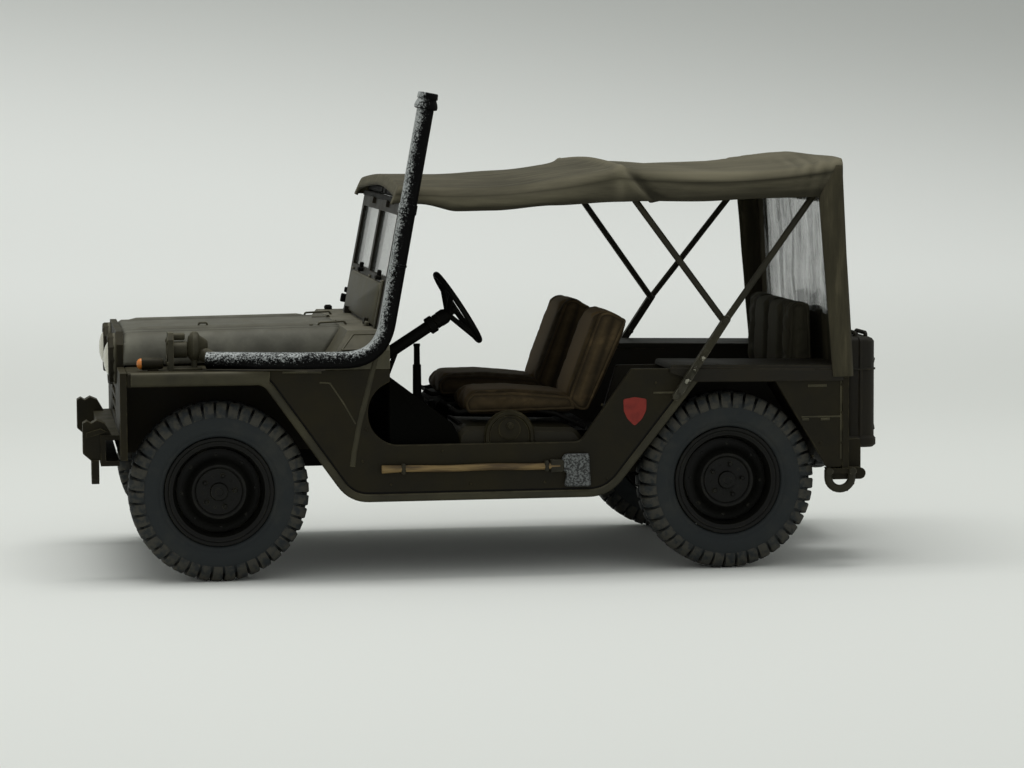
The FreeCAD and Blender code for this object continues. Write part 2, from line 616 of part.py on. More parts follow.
def canopy():
    """Canvas top over its two bows, with the flap over the windshield, the rear curtain
    and its corner strips."""
    t = CANOPY_THICK
    inset = CANOPY_ROUND

    def band(station, half, low, shoulder, crown):
        outer = [(half, low), (half, shoulder - inset), (half - inset, shoulder)]
        inner = [(half - t, low), (half - t, shoulder - inset), (half - inset, shoulder - t)]
        loop = ([(-y, z) for y, z in outer] + [(0, crown)] + outer[::-1]
                + inner + [(0, crown - t)] + [(-y, z) for y, z in inner[::-1]])
        return [V(at(station), y, SCREEN_TOP + z) for y, z in loop]

    top = skinned([band(*row) for row in CANOPY_SECTIONS])
    station, half, low, shoulder, crown = CANOPY_SECTIONS[0]
    edge = [(half, low), (half, shoulder - inset), (half - inset, shoulder)]
    ear = [(half - t, low), (half - 2.4, low + 1.5)]
    loop = [(-y, z) for y, z in edge] + [(0, crown)] + edge[::-1] + ear + [(-y, z) for y, z in ear[::-1]]
    flap = slab([(y, SCREEN_TOP + z) for y, z in loop], station - t, station)
    flap = along(flap, -FLAP_LEAN, station, SCREEN_TOP + crown)
    back_top = SCREEN_TOP + CANOPY_SECTIONS[-1][3] - 0.6
    rear_wall = plate([(CANOPY_REAR - t, back_top), (CANOPY_REAR, back_top), (CURTAIN_FOOT, STRIP_BOTTOM),
                       (CURTAIN_FOOT - t, STRIP_BOTTOM)], -CANOPY_HALF, CANOPY_HALF)
    window_half = HALF_WIDTH - WINDOW_INSET
    window = box(REAR_FACE - 3, REAR_FACE + 3, -window_half, window_half, WINDOW_LOW,
                 SCREEN_TOP - WINDOW_DROP)
    strip = plate([(CANOPY_REAR - 2.8, SCREEN_TOP + 0.4), (CANOPY_REAR, back_top),
                   (CURTAIN_FOOT, STRIP_BOTTOM), (CURTAIN_FOOT - 1.9, STRIP_BOTTOM)],
                  CANOPY_HALF + 0.3, CANOPY_HALF + 0.3 + t)
    side_back = plate([(CANOPY_REAR - t, back_top), (CANOPY_REAR, back_top),
                       (CURTAIN_FOOT, STRIP_BOTTOM), (CURTAIN_FOOT - t, STRIP_BOTTOM)],
                      CANOPY_HALF - 0.5, CANOPY_HALF + 0.3 + t)
    return fuse([top, flap, rear_wall.cut(window)] + both(strip) + both(side_back))


FLAP_LEAN = 24.0          # degrees forward, where the flap comes down over the windshield


def rear_window():
    """Clear flexible window sewn into the rear curtain."""
    gap = 0.02
    back_top = SCREEN_TOP + CANOPY_SECTIONS[-1][3] - 0.6
    slope = (CURTAIN_FOOT - CANOPY_REAR) / (back_top - STRIP_BOTTOM)
    low = WINDOW_LOW + gap
    high = SCREEN_TOP - WINDOW_DROP - gap
    half = HALF_WIDTH - WINDOW_INSET - gap
    s_low = CANOPY_REAR + (back_top - low) * slope
    s_high = CANOPY_REAR + (back_top - high) * slope
    return plate([(s_high - 0.6, high), (s_high - 0.2, high), (s_low - 0.2, low), (s_low - 0.6, low)],
                 -half, half)


def bow(low, top):
    """Hoop from the foot of its left leg, over the top and down to the right foot."""
    top_half = CANOPY_HALF - BOW_TOP_INSET
    leg = [low, (top[0], top_half, top[1])]
    other = [(s, -y, z) for s, y, z in reversed(leg)]
    return rod(leg + [(top[0], 0, top[1] + BOW_CROWN)] + other, BOW_RADIUS, BOW_BEND, BOW_SIDES)


def main_bow():
    """Rear hoop up to the canopy's rear corners, with flat lower bars bolted to the arch
    flanges."""
    hoop = bow((BOW_JOINT[0], BOW_FOOT_Y, BOW_JOINT[1]), MAIN_BOW_TOP)
    width, thick = BOW_BAR
    run = BOW_JOINT[0] - BOW_FOOT[0]
    rise = BOW_JOINT[1] - BOW_FOOT[1]
    flat = box(BOW_FOOT[0] - width / 2, BOW_FOOT[0] + width / 2, BOW_FOOT_Y - thick / 2,
               BOW_FOOT_Y + thick / 2, BOW_FOOT[1], BOW_FOOT[1] + hypot(run, rise) + 0.8)
    flat = along(flat, degrees(atan2(run, rise)), BOW_FOOT[0], BOW_FOOT[1])
    bolt = bar((BOW_PIVOT[0], HALF_WIDTH + LIP_PROUD, BOW_PIVOT[1]),
               (BOW_PIVOT[0], BOW_FOOT_Y + 0.8, BOW_PIVOT[1]), 0.45, 6)
    return fuse([hoop] + both(flat) + both(bolt))


def front_bow():
    """Front hoop, pinned to the inner side of the main bow's legs."""
    return bow((BOW_JOINT[0], BOW_FOOT_Y - 2 * BOW_RADIUS, BOW_JOINT[1]), FRONT_BOW_TOP)


# Fording gear on the left fender

def fording_pipe():
    """Exhaust pipe that lies along the fender and climbs beside the windshield to a
    hooded cap, with its sleeve joint and its two clamps."""
    route = [(-1.2, PIPE_Y - 3.3, PIPE_Z), (9.5, PIPE_Y, PIPE_Z), (PIPE_STATION, PIPE_Y, PIPE_Z),
             (PIPE_TIP[0], PIPE_Y, PIPE_TIP[1])]
    pipe = rod(route, PIPE_RADIUS, PIPE_BEND, PIPE_SIDES)
    elbow = V(at(PIPE_STATION), PIPE_Y, PIPE_Z)
    tip = V(at(PIPE_TIP[0]), PIPE_Y, PIPE_TIP[1])
    climb = (tip - elbow).normalize()
    cap = flats(tip, climb, [(-0.2, 0), (-0.2, CAP_RADIUS), (0.2, CAP_RADIUS), (0.95, CAP_RADIUS * 0.8),
                             (0.95, CAP_RADIUS * 0.88), (CAP_HEIGHT, CAP_RADIUS * 0.84), (CAP_HEIGHT, 0)],
                PIPE_SIDES)
    collars = []
    for z, length, proud in ((SCREEN_TOP - 0.2, 1.2, 0.1), (SCREEN_TOP - 7.4, 0.35, 0.08)):
        origin = elbow + climb * ((z - PIPE_Z) / climb.z - length)
        collars.append(flats(origin, climb, [(0, 0), (0, PIPE_RADIUS + proud), (length, PIPE_RADIUS + proud),
                                             (length, 0)], PIPE_SIDES))
    return fuse([pipe, cap] + collars)


def fording_housing():
    """Domed valve housing at the pipe's front end, on its flanged stand."""
    y = PIPE_Y - 5.2
    z = FENDER_TOP + 2.7
    forward = V(1, 0, 0)
    dome = flats(V(at(-1.2), y, z), forward, [(0, 0), (0, 0.9), (1.0, 1.5), (1.2, 1.75), (2.0, 1.75),
                                              (2.3, 1.3), (2.3, 0)], 12)
    flange = slab([(y - 1.9, FENDER_TOP), (y - 1.9, FENDER_TOP + 3.8), (y - 1.3, FENDER_TOP + 4.5),
                   (y + 1.3, FENDER_TOP + 4.5), (y + 1.9, FENDER_TOP + 3.8), (y + 1.9, FENDER_TOP)],
                  -5.8, -5.0)
    valve = flats(V(at(-3.4), y, z - 0.3), forward, [(0, 0), (0, 1.0), (1.7, 1.0), (1.7, 0)], 10)
    knob = flats(V(at(-3.9), y, z + 1.25), forward, [(0, 0), (0, 0.4), (1.2, 0.4), (1.2, 0)], 6)
    foot = box(-5.1, -1.6, y - 1.2, y + 1.2, FENDER_TOP, FENDER_TOP + 0.35)
    stand = box(-3.1, -2.4, y - 1.0, y + 1.0, FENDER_TOP + 0.2, z)
    outlet = bar((-2.2, y + 0.4, PIPE_Z + 0.3), (-0.7, y + 2.0, PIPE_Z), 0.75, 10)
    housing = fuse([dome, flange, valve, knob, foot, stand, outlet])
    return housing.cut(fording_pipe())


# Lamps and fittings

MARKER = (-6.4, HALF_WIDTH - 3.2)    # station and y of the marker lamps' backs
MARKER_LENGTH = 2.6


def signal_lamps():
    """Marker lamp bodies on the front fenders."""
    origin = V(at(MARKER[0]), MARKER[1], FENDER_TOP + 0.85)
    body = flats(origin, V(1, 0, 0), [(0, 0), (0, 0.65), (MARKER_LENGTH, 0.75), (MARKER_LENGTH, 0)], 10)
    foot = box(MARKER[0] - 2.0, MARKER[0] - 0.5, MARKER[1] - 0.4, MARKER[1] + 0.4, FENDER_TOP,
               FENDER_TOP + 0.5)
    return pair(fuse([body, foot]))


def signal_lenses():
    origin = V(at(MARKER[0] - MARKER_LENGTH), MARKER[1], FENDER_TOP + 0.85)
    dome = [(0, 0), (0, 0.62), (0.3, 0.55), (0.55, 0.3), (0.62, 0)]
    return pair(flats(origin, V(1, 0, 0), dome, 10))


def bumper():
    """Front bumper channel with a ridged hook and its hanging clevis at each side."""
    y = HALF_WIDTH - 6.8
    channel = plate([(-13.8, 13.7), (-13.8, 17.4), (FRONT_FACE, 17.4), (FRONT_FACE, 16.8), (-13.2, 16.8),
                     (-13.2, 14.3), (FRONT_FACE, 14.3), (FRONT_FACE, 13.7)], -y - 1.6, y + 1.6)
    hook = plate([(-12.5, 17.4), (-13.3, 18.8), (-14.2, 19.2), (-14.9, 18.8), (-15.4, 19.1),
                  (-FRONT_REACH, 18.8), (-FRONT_REACH, 15.2), (-15.0, 14.4), (-13.8, 14.4), (-13.8, 17.4)],
                 y - 1.2, y + 1.2)
    ridge = plate([(-13.0, 17.8), (-13.8, 18.2), (-15.5, 17.7), (-15.5, 17.1), (-13.8, 17.6)],
                  y + 1.2, y + 1.5)
    clevis = slab([(y - 1.5, 14.4), (y - 1.5, 12.2), (y - 0.8, 11.5), (y + 0.8, 11.5), (y + 1.5, 12.2),
                   (y + 1.5, 14.4), (y + 0.8, 14.4), (y + 0.8, 12.4), (y - 0.8, 12.4), (y - 0.8, 14.4)],
                  -14.9, -14.0)
    return fuse([channel] + both(fuse([hook, ridge, clevis])))


def can_box():
    """Front edge, rear edge and half length of the fuel can."""
    front = REAR_FACE + 0.7
    return front, front + CAN_WIDTH, CAN_LENGTH / 2


def fuel_can():
    """Flat-sided fuel can with its welded seam, three handles and a side cap."""
    front, back, half = can_box()
    top = CAN_BASE + CAN_TALL

    def body(s0, s1, proud):
        edge = half + proud
        return slab([(CAN_Y - edge, CAN_BASE), (CAN_Y - edge, top - 1.2), (CAN_Y - edge + 1.0, top + proud),
                     (CAN_Y + edge - 1.0, top + proud), (CAN_Y + edge, top - 1.2), (CAN_Y + edge, CAN_BASE)],
                    s0, s1)

    middle = (front + back) / 2
    shell = body(front + 0.5, back - 0.5, 0.0)
    faces = [body(front, front + 0.6, -0.5), body(back - 0.6, back, -0.5)]
    seam = body(middle - 0.2, middle + 0.2, 0.15)
    handles = [box(middle + s - 0.22, middle + s + 0.22, CAN_Y - 2.4, CAN_Y + 2.4, top - 0.1, top + 0.9)
               for s in (-1.3, 0.0, 1.3)]
    grip = box(front, back, CAN_Y - 1.6, CAN_Y + 1.6, top + 0.15, top + 0.55)
    spout = flats(V(at(middle), CAN_Y - 3.4, top - 0.2), V(0, 0, 1),
                  [(0, 0), (0, 0.7), (0.8, 0.7), (0.8, 0)], 8)
    return fuse([shell, seam, spout] + faces + [h.cut(grip) for h in handles])


def can_bracket():
    """Tray with a raised rim for the can, its back plate, and the strap round the can."""
    front, back, half = can_box()
    tray = box(REAR_FACE, rear(CAN_REACH), CAN_Y - half - 0.4, CAN_Y + half + 0.4,
               CAN_BASE - 0.8, CAN_BASE + 0.5)
    plate_up = box(REAR_FACE, front, CAN_Y - 3.5, CAN_Y + 3.5, CAN_BASE + 0.5, 20.0)
    strap = box(REAR_FACE, back + 0.15, CAN_Y - half - 0.35, CAN_Y + half + 0.35, 22.4, 23.0)
    pocket = box(front, back, CAN_Y - half - 0.17, CAN_Y + half + 0.17, CAN_BASE, CAN_BASE + CAN_TALL)
    return fuse([tray, plate_up]).fuse(strap.fuse(box(REAR_FACE, front, CAN_Y - 0.5, CAN_Y + 0.5, 20.0, 22.4))
                                       ).removeSplitter().cut(pocket)


AXE_STATION = 19.2
AXE_LENGTH = rear(-ARCH - 6.4) - AXE_STATION
AXE_Z = 13.2


def axe_handle():
    """Straight handle, swelling a little towards its grip end."""
    end = AXE_STATION + AXE_LENGTH
    return plate([(AXE_STATION, AXE_Z - 0.5), (AXE_STATION, AXE_Z + 0.55), (AXE_STATION + 3.0, AXE_Z + 0.42),
                  (end, AXE_Z + 0.42), (end, AXE_Z - 0.42), (AXE_STATION + 3.0, AXE_Z - 0.42)],
                 HALF_WIDTH, HALF_WIDTH + 0.8)


def axe_head():
    """Head with its poll above the handle and the blade flaring below."""
    s = AXE_STATION + AXE_LENGTH
    return plate([(s, AXE_Z + 0.9), (s + 0.3, AXE_Z + 1.4), (s + 3.2, AXE_Z + 1.4), (s + 3.2, AXE_Z - 2.6),
                  (s + 0.2, AXE_Z - 2.5), (s + 0.5, AXE_Z - 0.6), (s, AXE_Z - 0.5)],
                 HALF_WIDTH, HALF_WIDTH + 0.7)


def filler_plate():
    """Half-round plate with a round cap at the left sill, beside the driver's seat."""
    middle = rear(-26.5)
    rise = 3.8
    arch = [(middle + rise * cos(pi * i / 8), DOOR_SILL + rise * sin(pi * i / 8)) for i in range(9)]
    backing = plate(arch, INSIDE - 0.6, INSIDE)
    cap = flats(V(at(middle), INSIDE - 0.1, DOOR_SILL + 1.7), V(0, 1, 0),
                [(0, 0), (0, 1.3), (0.5, 1.3), (0.8, 1.0), (0.8, 0)], 12)
    return fuse([backing, cap])


# Interior

def seat_frame(y):
    """Curved sheet pan under a front seat on its two cross stands."""
    front = SEAT_FRONT + 0.6
    back = SEAT_REAR + 0.9
    middle = (front + back) / 2
    dip = [(front, 0.0), ((front + middle) / 2, 0.8), (middle, 1.1), ((back + middle) / 2, 0.8), (back, 0.0)]
    pan = plate([(s, SEAT_PAN - d) for s, d in dip] + [(s, SEAT_PAN - 0.5 - d) for s, d in reversed(dip)],
                y - SEAT_HALF + 0.3, y + SEAT_HALF - 0.3)
    legs = [box(s, s + 1.0, y - SEAT_HALF + 0.7, y + SEAT_HALF - 0.7, FLOOR_TOP,
                SEAT_PAN - 0.8)
            for s in (SEAT_FRONT + 1.8, SEAT_REAR - 1.4)]
    return fuse([pan] + legs)


def seat_places():
    return [("left", HALF_WIDTH - SEAT_INSET), ("right", -HALF_WIDTH + SEAT_INSET)]


def seat_frames():
    return Part.makeCompound([seat_frame(y) for _, y in seat_places()])


def seat_cushion(y):
    low = SEAT_PAN + 0.05
    return plate([(SEAT_FRONT, low), (SEAT_FRONT, low + 2.75), (SEAT_FRONT + 1.0, low + 4.05),
                  (SEAT_REAR - 1.4, low + 3.25), (SEAT_REAR - 0.3, low)], y - SEAT_HALF, y + SEAT_HALF)


def seat_back(y):
    s = SEAT_REAR
    low = SEAT_PAN + 0.05
    return plate([(s + 0.1, low), (s - 1.0, low + 3.25), (s + 2.4, low + 12.85), (s + 4.7, low + 13.25),
                  (s + 5.9, low + 12.15), (s + 1.9, low)], y - SEAT_HALF, y + SEAT_HALF)


def rear_cushion():
    low = BENCH_PAN + 0.1
    return plate([(rear(-1.7), low), (rear(-1.7), low + 2.6), (rear(-1.1), low + 3.2), (rear(9.3), low + 3.0),
                  (rear(9.3), low)], -BENCH_HALF, BENCH_HALF)


def rear_back():
    low = BENCH_PAN + 0.1
    return plate([(rear(9.6), low), (rear(10.1), low + 14.2), (rear(11.1), low + 14.7),
                  (rear(12.7), low + 14.4), (rear(13.3), low)], -BENCH_HALF, BENCH_HALF)


def rear_seat_frame():
    under = BENCH_PAN - 0.6
    pan = box(rear(-1.3), rear(13.1), -BENCH_HALF + 0.2, BENCH_HALF - 0.2, under, BENCH_PAN)
    legs = [box(s, s + 0.8, -BENCH_HALF + 0.6, BENCH_HALF - 0.6, REAR_FLOOR_TOP, under)
            for s in (rear(-0.7), rear(11.1))]
    return fuse([pan] + legs)


def steering_axis():
    a = radians(STEER_SLOPE)
    return V(at(STEER_HUB[0]), STEER_Y, STEER_HUB[1]), V(-cos(a), 0, sin(a))


def steering_column(radius):
    """Column from the wheel's hub down to the firewall."""
    hub, axis = steering_axis()
    length = (STEER_HUB[0] - FIREWALL) / cos(radians(STEER_SLOPE)) + 2 * radius
    column = flats(hub - axis * length, axis, [(0, 0), (0, radius), (length, radius), (length, 0)], 10)
    ahead = box(FIREWALL - 6, FIREWALL, STEER_Y - 3, STEER_Y + 3, 12, STEER_HUB[1])
    return column.cut(ahead)


def steering():
    """Dished three-spoke wheel on its column, which runs down to the firewall."""
    hub, axis = steering_axis()
    centre = hub + axis * STEER_DISH
    g = STEER_GRIP
    r = STEER_RADIUS - g
    hoop = flats(centre, axis, [(-g, r), (-g / 2, r - g), (g / 2, r - g), (g, r), (g / 2, r + g),
                                (-g / 2, r + g)], 20)
    boss = flats(hub - axis * 0.6, axis, [(0, 0), (0, 0.8), (1.3, 0.7), (1.3, 0)], 10)
    clamp = flats(hub - axis * 4.6, axis, [(0, 0), (0, COLUMN_RADIUS + 0.35), (0.9, COLUMN_RADIUS + 0.35),
                                           (0.9, 0)], 10)
    parts = [hoop, boss, clamp]
    across = V(0, 1, 0)
    upward = axis.cross(across)
    for i in range(3):
        turn = pi / 2 + i * 2 * pi / 3
        end = centre + (across * cos(turn) + upward * sin(turn)) * r
        reach = end - hub
        length = reach.Length
        parts.append(flats(hub, reach.normalize(), [(0, 0), (0, 0.3), (length, 0.24), (length, 0)], 4))
    return fuse(parts + [steering_column(COLUMN_RADIUS)])


def levers():
    """Gear lever with its stepped knob and the transfer lever, on the tunnel."""
    gear = fuse([bar((26.3, 0.6, TUNNEL_TOP), (26.3, 0.6, TUNNEL_TOP + 6.6), 0.55),
                 bar((26.3, 0.6, TUNNEL_TOP + 6.0), (26.3, 0.6, TUNNEL_TOP + 10.8), 0.4)])
    transfer = bar((28.6, -2.0, TUNNEL_TOP - 1), (28.2, -2.0, TUNNEL_TOP + 5.4), 0.4)
    below = box(26.0, 31.0, -4.0, 0.0, TUNNEL_TOP - 3, TUNNEL_TOP)
    return Part.makeCompound([gear, transfer.cut(below)])


# Wheels

def lug_band(y0, y1, inner):
    """Band of the tread from y0 to y1, cut into LUGS blocks, down to the inner radius."""
    points = []
    pitch = 2 * pi / LUGS
    for i in range(LUGS):
        first = i * pitch
        last = first + LUG_SHARE * pitch
        gap_end = first + pitch
        for angle, radius in ((first, TYRE_RADIUS), (last, TYRE_RADIUS), (last, TYRE_RADIUS - LUG_DEPTH),
                              (gap_end, TYRE_RADIUS - LUG_DEPTH)):
            points.append(V(radius * sin(angle), y0, radius * cos(angle)))
    inside = ring(V(0, y0, 0), V(0, 1, 0), inner, LUGS)
    face = Part.Face(Part.makePolygon(points + points[:1]))
    hole = Part.Face(Part.makePolygon(inside + inside[:1]))
    return face.cut(hole).extrude(V(0, y1 - y0, 0))


def tyre():
    """Tyre about the origin with its outer face towards +Y, its tread cut into lugs."""
    half = TYRE_WIDTH / 2
    shoulder = 0.9 * half
    bead = 0.72 * half
    rim_edge = RIM_RADIUS + 0.05
    wide = TYRE_RADIUS - 2.3
    tread = lug_band(-shoulder, shoulder, wide)
    axis = V(0, 1, 0)
    wall = flats(V(0, 0, 0), axis, [(-bead, 0), (-bead, rim_edge), (-half, wide), (-shoulder, wide + 0.9),
                                    (shoulder, wide + 0.9), (half, wide), (bead, rim_edge), (bead, 0)], LUGS)
    seat = flats(V(0, 0, 0), axis, [(-half, 0), (-half, TYRE_SEAT), (half, TYRE_SEAT), (half, 0)], RIM_SIDES)
    return fuse([wall, tread]).cut(seat)


def rim():
    """Pressed steel rim about the origin, facing +Y: barrel with flanges at the beads,
    dished disc, raised hub and the thick middle that runs on the axle."""
    bead = 0.72 * TYRE_WIDTH / 2
    out = bead + 0.3
    t = 0.5
    inner = TYRE_SEAT - t
    profile = [(-out, inner), (-out, RIM_RADIUS), (-bead, RIM_RADIUS), (-bead, TYRE_SEAT), (bead, TYRE_SEAT),
               (bead, RIM_RADIUS), (out, RIM_RADIUS), (bead - 0.1, inner), (bead - 1.5, 4.6),
               (bead - 1.5, 3.5),
               (bead - 0.4, 2.7), (bead + 0.1, 0), (-HUB_DEPTH, 0), (-HUB_DEPTH, 1.9), (bead - 2.1, 1.9),
               (bead - 2.4, inner)]
    return flats(V(0, 0, 0), V(0, 1, 0), profile, RIM_SIDES)


def placed(shape, station, y, z):
    out = shape.copy()
    out.translate(V(at(station), y, z))
    return out


# Running gear

def axle_set(station, seat_z):
    """Cross member, differential, wishbones, coil springs, knuckles and stub axles of one
    axle, left and right. The springs stand up to seat_z."""
    middle = box(station - 2.2, station + 2.2, -7.0, 7.0, 11.0, 13.4)
    final_drive = flats(V(at(station), 0, 11.0), V(1, 0, 0),
                        [(-3.4, 0), (-3.4, 0.9), (-1.6, 1.9), (1.2, 1.9), (2.6, 0.9), (2.6, 0)], 8)
    parts = [middle, final_drive]
    inner = INNER_WALL - SKIN
    knuckle_y = WHEEL_Y - 4.6
    for side in (1, -1):
        arm = plan([(station - 3.8, 6.0), (station + 3.8, 6.0), (station + 1.2, knuckle_y - 0.4),
                    (station - 1.2, knuckle_y - 0.4)], 8.6, 9.5)
        knuckle = box(station - 1.1, station + 1.1, knuckle_y - 0.8, knuckle_y + 0.7, 7.6, 12.6)
        stub = spool(station, knuckle_y, WHEEL_Y + 0.8, WHEEL_CENTRE, AXLE_RADIUS)
        post = box(station - 1.4, station + 1.4, 5.6, 7.0, 8.8, seat_z - 0.6)
        seat = box(station - 1.6, station + 1.6, 5.6, inner - 0.2, seat_z - 0.6, seat_z)
        tall = seat_z - 9.9
        coil = flats(V(at(station), 9.4, 9.4), V(0, 0, 1),
                     [(0, 0), (0, SPRING_RADIUS), (tall, SPRING_RADIUS), (tall, 0)], 8)
        group = fuse([arm, knuckle, stub, post, seat, coil])
        parts.append(group if side > 0 else mirrored(group))
    return fuse(parts)


def driveline():
    """Engine and gearbox blocks below the floor, with the prop shaft."""
    sump = box(-5.6, 7.6, -4.2, 4.2, 13.5, 22.0)
    gearbox = box(7.6, 24.0, -3.0, 3.0, 11.6, 14.4)
    shaft = bar((24.0, 0, 12.6), (WHEELBASE - 3.3, 0, 11.4), 0.7)
    return fuse([sump, gearbox, shaft])


def tow_hook():
    """Rear tow hook: backing plate, shank and the eye for a drawbar pin."""
    eye_station = REAR_FACE + TOW_REACH
    backing = box(REAR_FACE, REAR_FACE + 0.7, -1.6, 1.6, TOW_Z - 1.6, TOW_Z + 1.8)
    shank = box(REAR_FACE + 0.6, eye_station, -0.5, 0.5, TOW_Z - 0.9, TOW_Z + 0.9)
    eye = flats(V(at(eye_station), -0.5, TOW_Z), V(0, 1, 0), [(0, 0), (0, 1.5), (1.0, 1.5), (1.0, 0)], 10)
    hole = spool(eye_station, -2.0, 2.0, TOW_Z, TOW_EYE / 2)
    return fuse([backing, shank, eye]).cut(hole)


SPARE_STATION = rear(CAN_REACH) - TYRE_WIDTH / 2
SPARE_GAP = SPARE_STATION - HUB_DEPTH - REAR_FACE    # rear panel's face to the back of the spare's hub


def spare(shape):
    """A wheel piece turned to face the rear and hung on the carrier."""
    out = shape.copy()
    out.rotate(V(0, 0, 0), V(0, 0, 1), 90)
    out.translate(V(at(SPARE_STATION), SPARE_Y, SPARE_Z))
    return out


def build():
    parts = {}
    left = body_side()
    parts["body_side_left"] = left
    parts["body_side_right"] = mirrored(left)
    box_left = wheel_box()
    parts["wheel_box_left"] = box_left
    parts["wheel_box_right"] = mirrored(box_left)
    parts["floor_pan"] = floor_pan()
    parts["inner_fenders"] = inner_fenders()
    parts["cowl"] = cowl()
    parts["hood"] = hood()
    parts["grille"] = grille()
    parts["headlamp_lenses"] = headlamp_lenses()
    parts["rear_panel"] = rear_panel()
    parts["screen_frame"] = screen_frame()
    parts["screen_glass"] = screen_glass()
    parts["canopy"] = canopy()
    parts["rear_window"] = rear_window()
    parts["main_bow"] = main_bow()
    parts["front_bow"] = front_bow()
    parts["fording_pipe"] = fording_pipe()
    parts["fording_housing"] = fording_housing()
    parts["signal_lamps"] = signal_lamps()
    parts["signal_lenses"] = signal_lenses()
    parts["bumper"] = bumper()
    parts["fuel_can"] = fuel_can()
    parts["can_bracket"] = can_bracket()
    parts["axe_handle"] = axe_handle()
    parts["axe_head"] = axe_head()
    parts["filler_plate"] = filler_plate()
    parts["seat_frames"] = seat_frames()
    for name, y in seat_places():
        parts["seat_cushion_" + name] = seat_cushion(y)
        parts["seat_back_" + name] = seat_back(y)
    parts["rear_seat_frame"] = rear_seat_frame()
    parts["rear_seat_cushion"] = rear_cushion()
    parts["rear_seat_back"] = rear_back()
    parts["steering"] = steering()
    parts["levers"] = levers()
    parts["front_axle"] = axle_set(0.0, 17.4)
    parts["rear_axle"] = axle_set(WHEELBASE, REAR_FLOOR_TOP - SKIN)
    parts["driveline"] = driveline()
    parts["tow_hook"] = tow_hook()
    rubber = tyre()
    steel = rim()
    bore = Part.makeCylinder(AXLE_RADIUS + WHEEL_CLEARANCE, WHEEL_BORE, V(0, -2.0, 0), V(0, 1, 0))
    running = steel.cut(bore)
    for name, station in (("front", 0.0), ("rear", WHEELBASE)):
        parts["tyre_" + name + "_left"] = placed(rubber, station, WHEEL_Y, WHEEL_CENTRE)
        parts["rim_" + name + "_left"] = placed(running, station, WHEEL_Y, WHEEL_CENTRE)
        parts["tyre_" + name + "_right"] = mirrored(parts["tyre_" + name + "_left"])
        parts["rim_" + name + "_right"] = mirrored(parts["rim_" + name + "_left"])
    parts["spare_tyre"] = spare(rubber)
    parts["spare_rim"] = spare(steel)
    lift = V(0, 0, TYRE_RADIUS - WHEEL_CENTRE)
    for shape in parts.values():
        shape.translate(lift)
    return parts


WHEEL_BORE = 2.9          # depth of the blind bore, so the stub's end keeps clear


def main():
    os.makedirs("parts", exist_ok=True)
    for name, shape in build().items():
        if not shape.isValid():
            print("not valid:", name)
        shape.exportStep("parts/" + name + ".step")
        b = shape.BoundBox
        print(name, len(shape.Solids), "solid(s)", round(shape.Volume, 2),
              [round(v, 2) for v in (b.XMin, b.XMax, b.YMin, b.YMax, b.ZMin, b.ZMax)])


main()
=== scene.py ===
# %% [markdown]
# # A 1:35 scale model of a light army 4x4 car
#
# The real object is a built and painted kit about ten centimetres long. It has a folded
# steel body, a canvas top on two hoops, a tall fording pipe and five lugged tyres. The
# solids from the CAD carry every true size.

# %% Load the frame
from math import cos, exp, hypot, pi, radians, sin, tan

import bmesh
import bpy
from mathutils import Matrix, Vector, kdtree, noise


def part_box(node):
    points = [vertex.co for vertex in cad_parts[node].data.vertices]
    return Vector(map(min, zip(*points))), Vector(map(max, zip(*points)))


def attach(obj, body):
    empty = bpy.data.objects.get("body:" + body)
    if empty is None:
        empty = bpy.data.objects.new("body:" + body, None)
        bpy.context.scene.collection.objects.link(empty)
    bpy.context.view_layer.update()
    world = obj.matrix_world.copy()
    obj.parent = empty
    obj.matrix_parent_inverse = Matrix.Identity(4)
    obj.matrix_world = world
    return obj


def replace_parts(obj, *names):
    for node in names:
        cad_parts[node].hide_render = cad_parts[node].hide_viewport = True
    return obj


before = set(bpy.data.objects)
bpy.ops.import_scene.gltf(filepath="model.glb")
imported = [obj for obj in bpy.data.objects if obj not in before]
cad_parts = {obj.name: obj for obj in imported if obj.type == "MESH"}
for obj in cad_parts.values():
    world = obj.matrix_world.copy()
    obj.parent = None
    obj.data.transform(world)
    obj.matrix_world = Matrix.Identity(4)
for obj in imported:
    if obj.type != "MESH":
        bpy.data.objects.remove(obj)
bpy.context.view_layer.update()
MM = 0.001
AXLE_X = 33.15
scene = bpy.context.scene


def at(station):
    """X in millimetres of a place measured back from the front axle."""
    return AXLE_X - station


# %% [markdown]
# ## Camera
#
# The camera stands to the left of the car, a little above it and slightly towards the
# front.

# %% Camera
camera = bpy.data.objects.new("camera", bpy.data.cameras.new("camera"))
camera.location = Vector((57.585, 416.52, 57.678)) * MM
camera.rotation_euler = [radians(a) for a in (85.03976, 0.33611, 171.38157)]
camera.data.lens = 117.426
camera.data.sensor_width = 36.0
camera.data.clip_start = 0.01
scene.collection.objects.link(camera)
scene.camera = camera
scene.view_settings.view_transform = "Standard"
print("camera at", [round(v, 4) for v in camera.location])

# %% [markdown]
# ## A short hand for shader nodes
#
# Every finish on the model is procedural: the pattern is worked out from the place on the
# object, so it needs no picture and holds at any distance. These helpers wire up the few
# nodes that the finishes share: noise for mottling, a ramp to set its contrast, a mix of
# two colours and a bump from a height.


# %% Shader helpers
def linear(rgb):
    """A colour of 0 to 255 as scene-linear values."""
    return tuple(((c / 255 + 0.055) / 1.055) ** 2.4 if c > 10 else c / 3294 for c in rgb) + (1.0,)


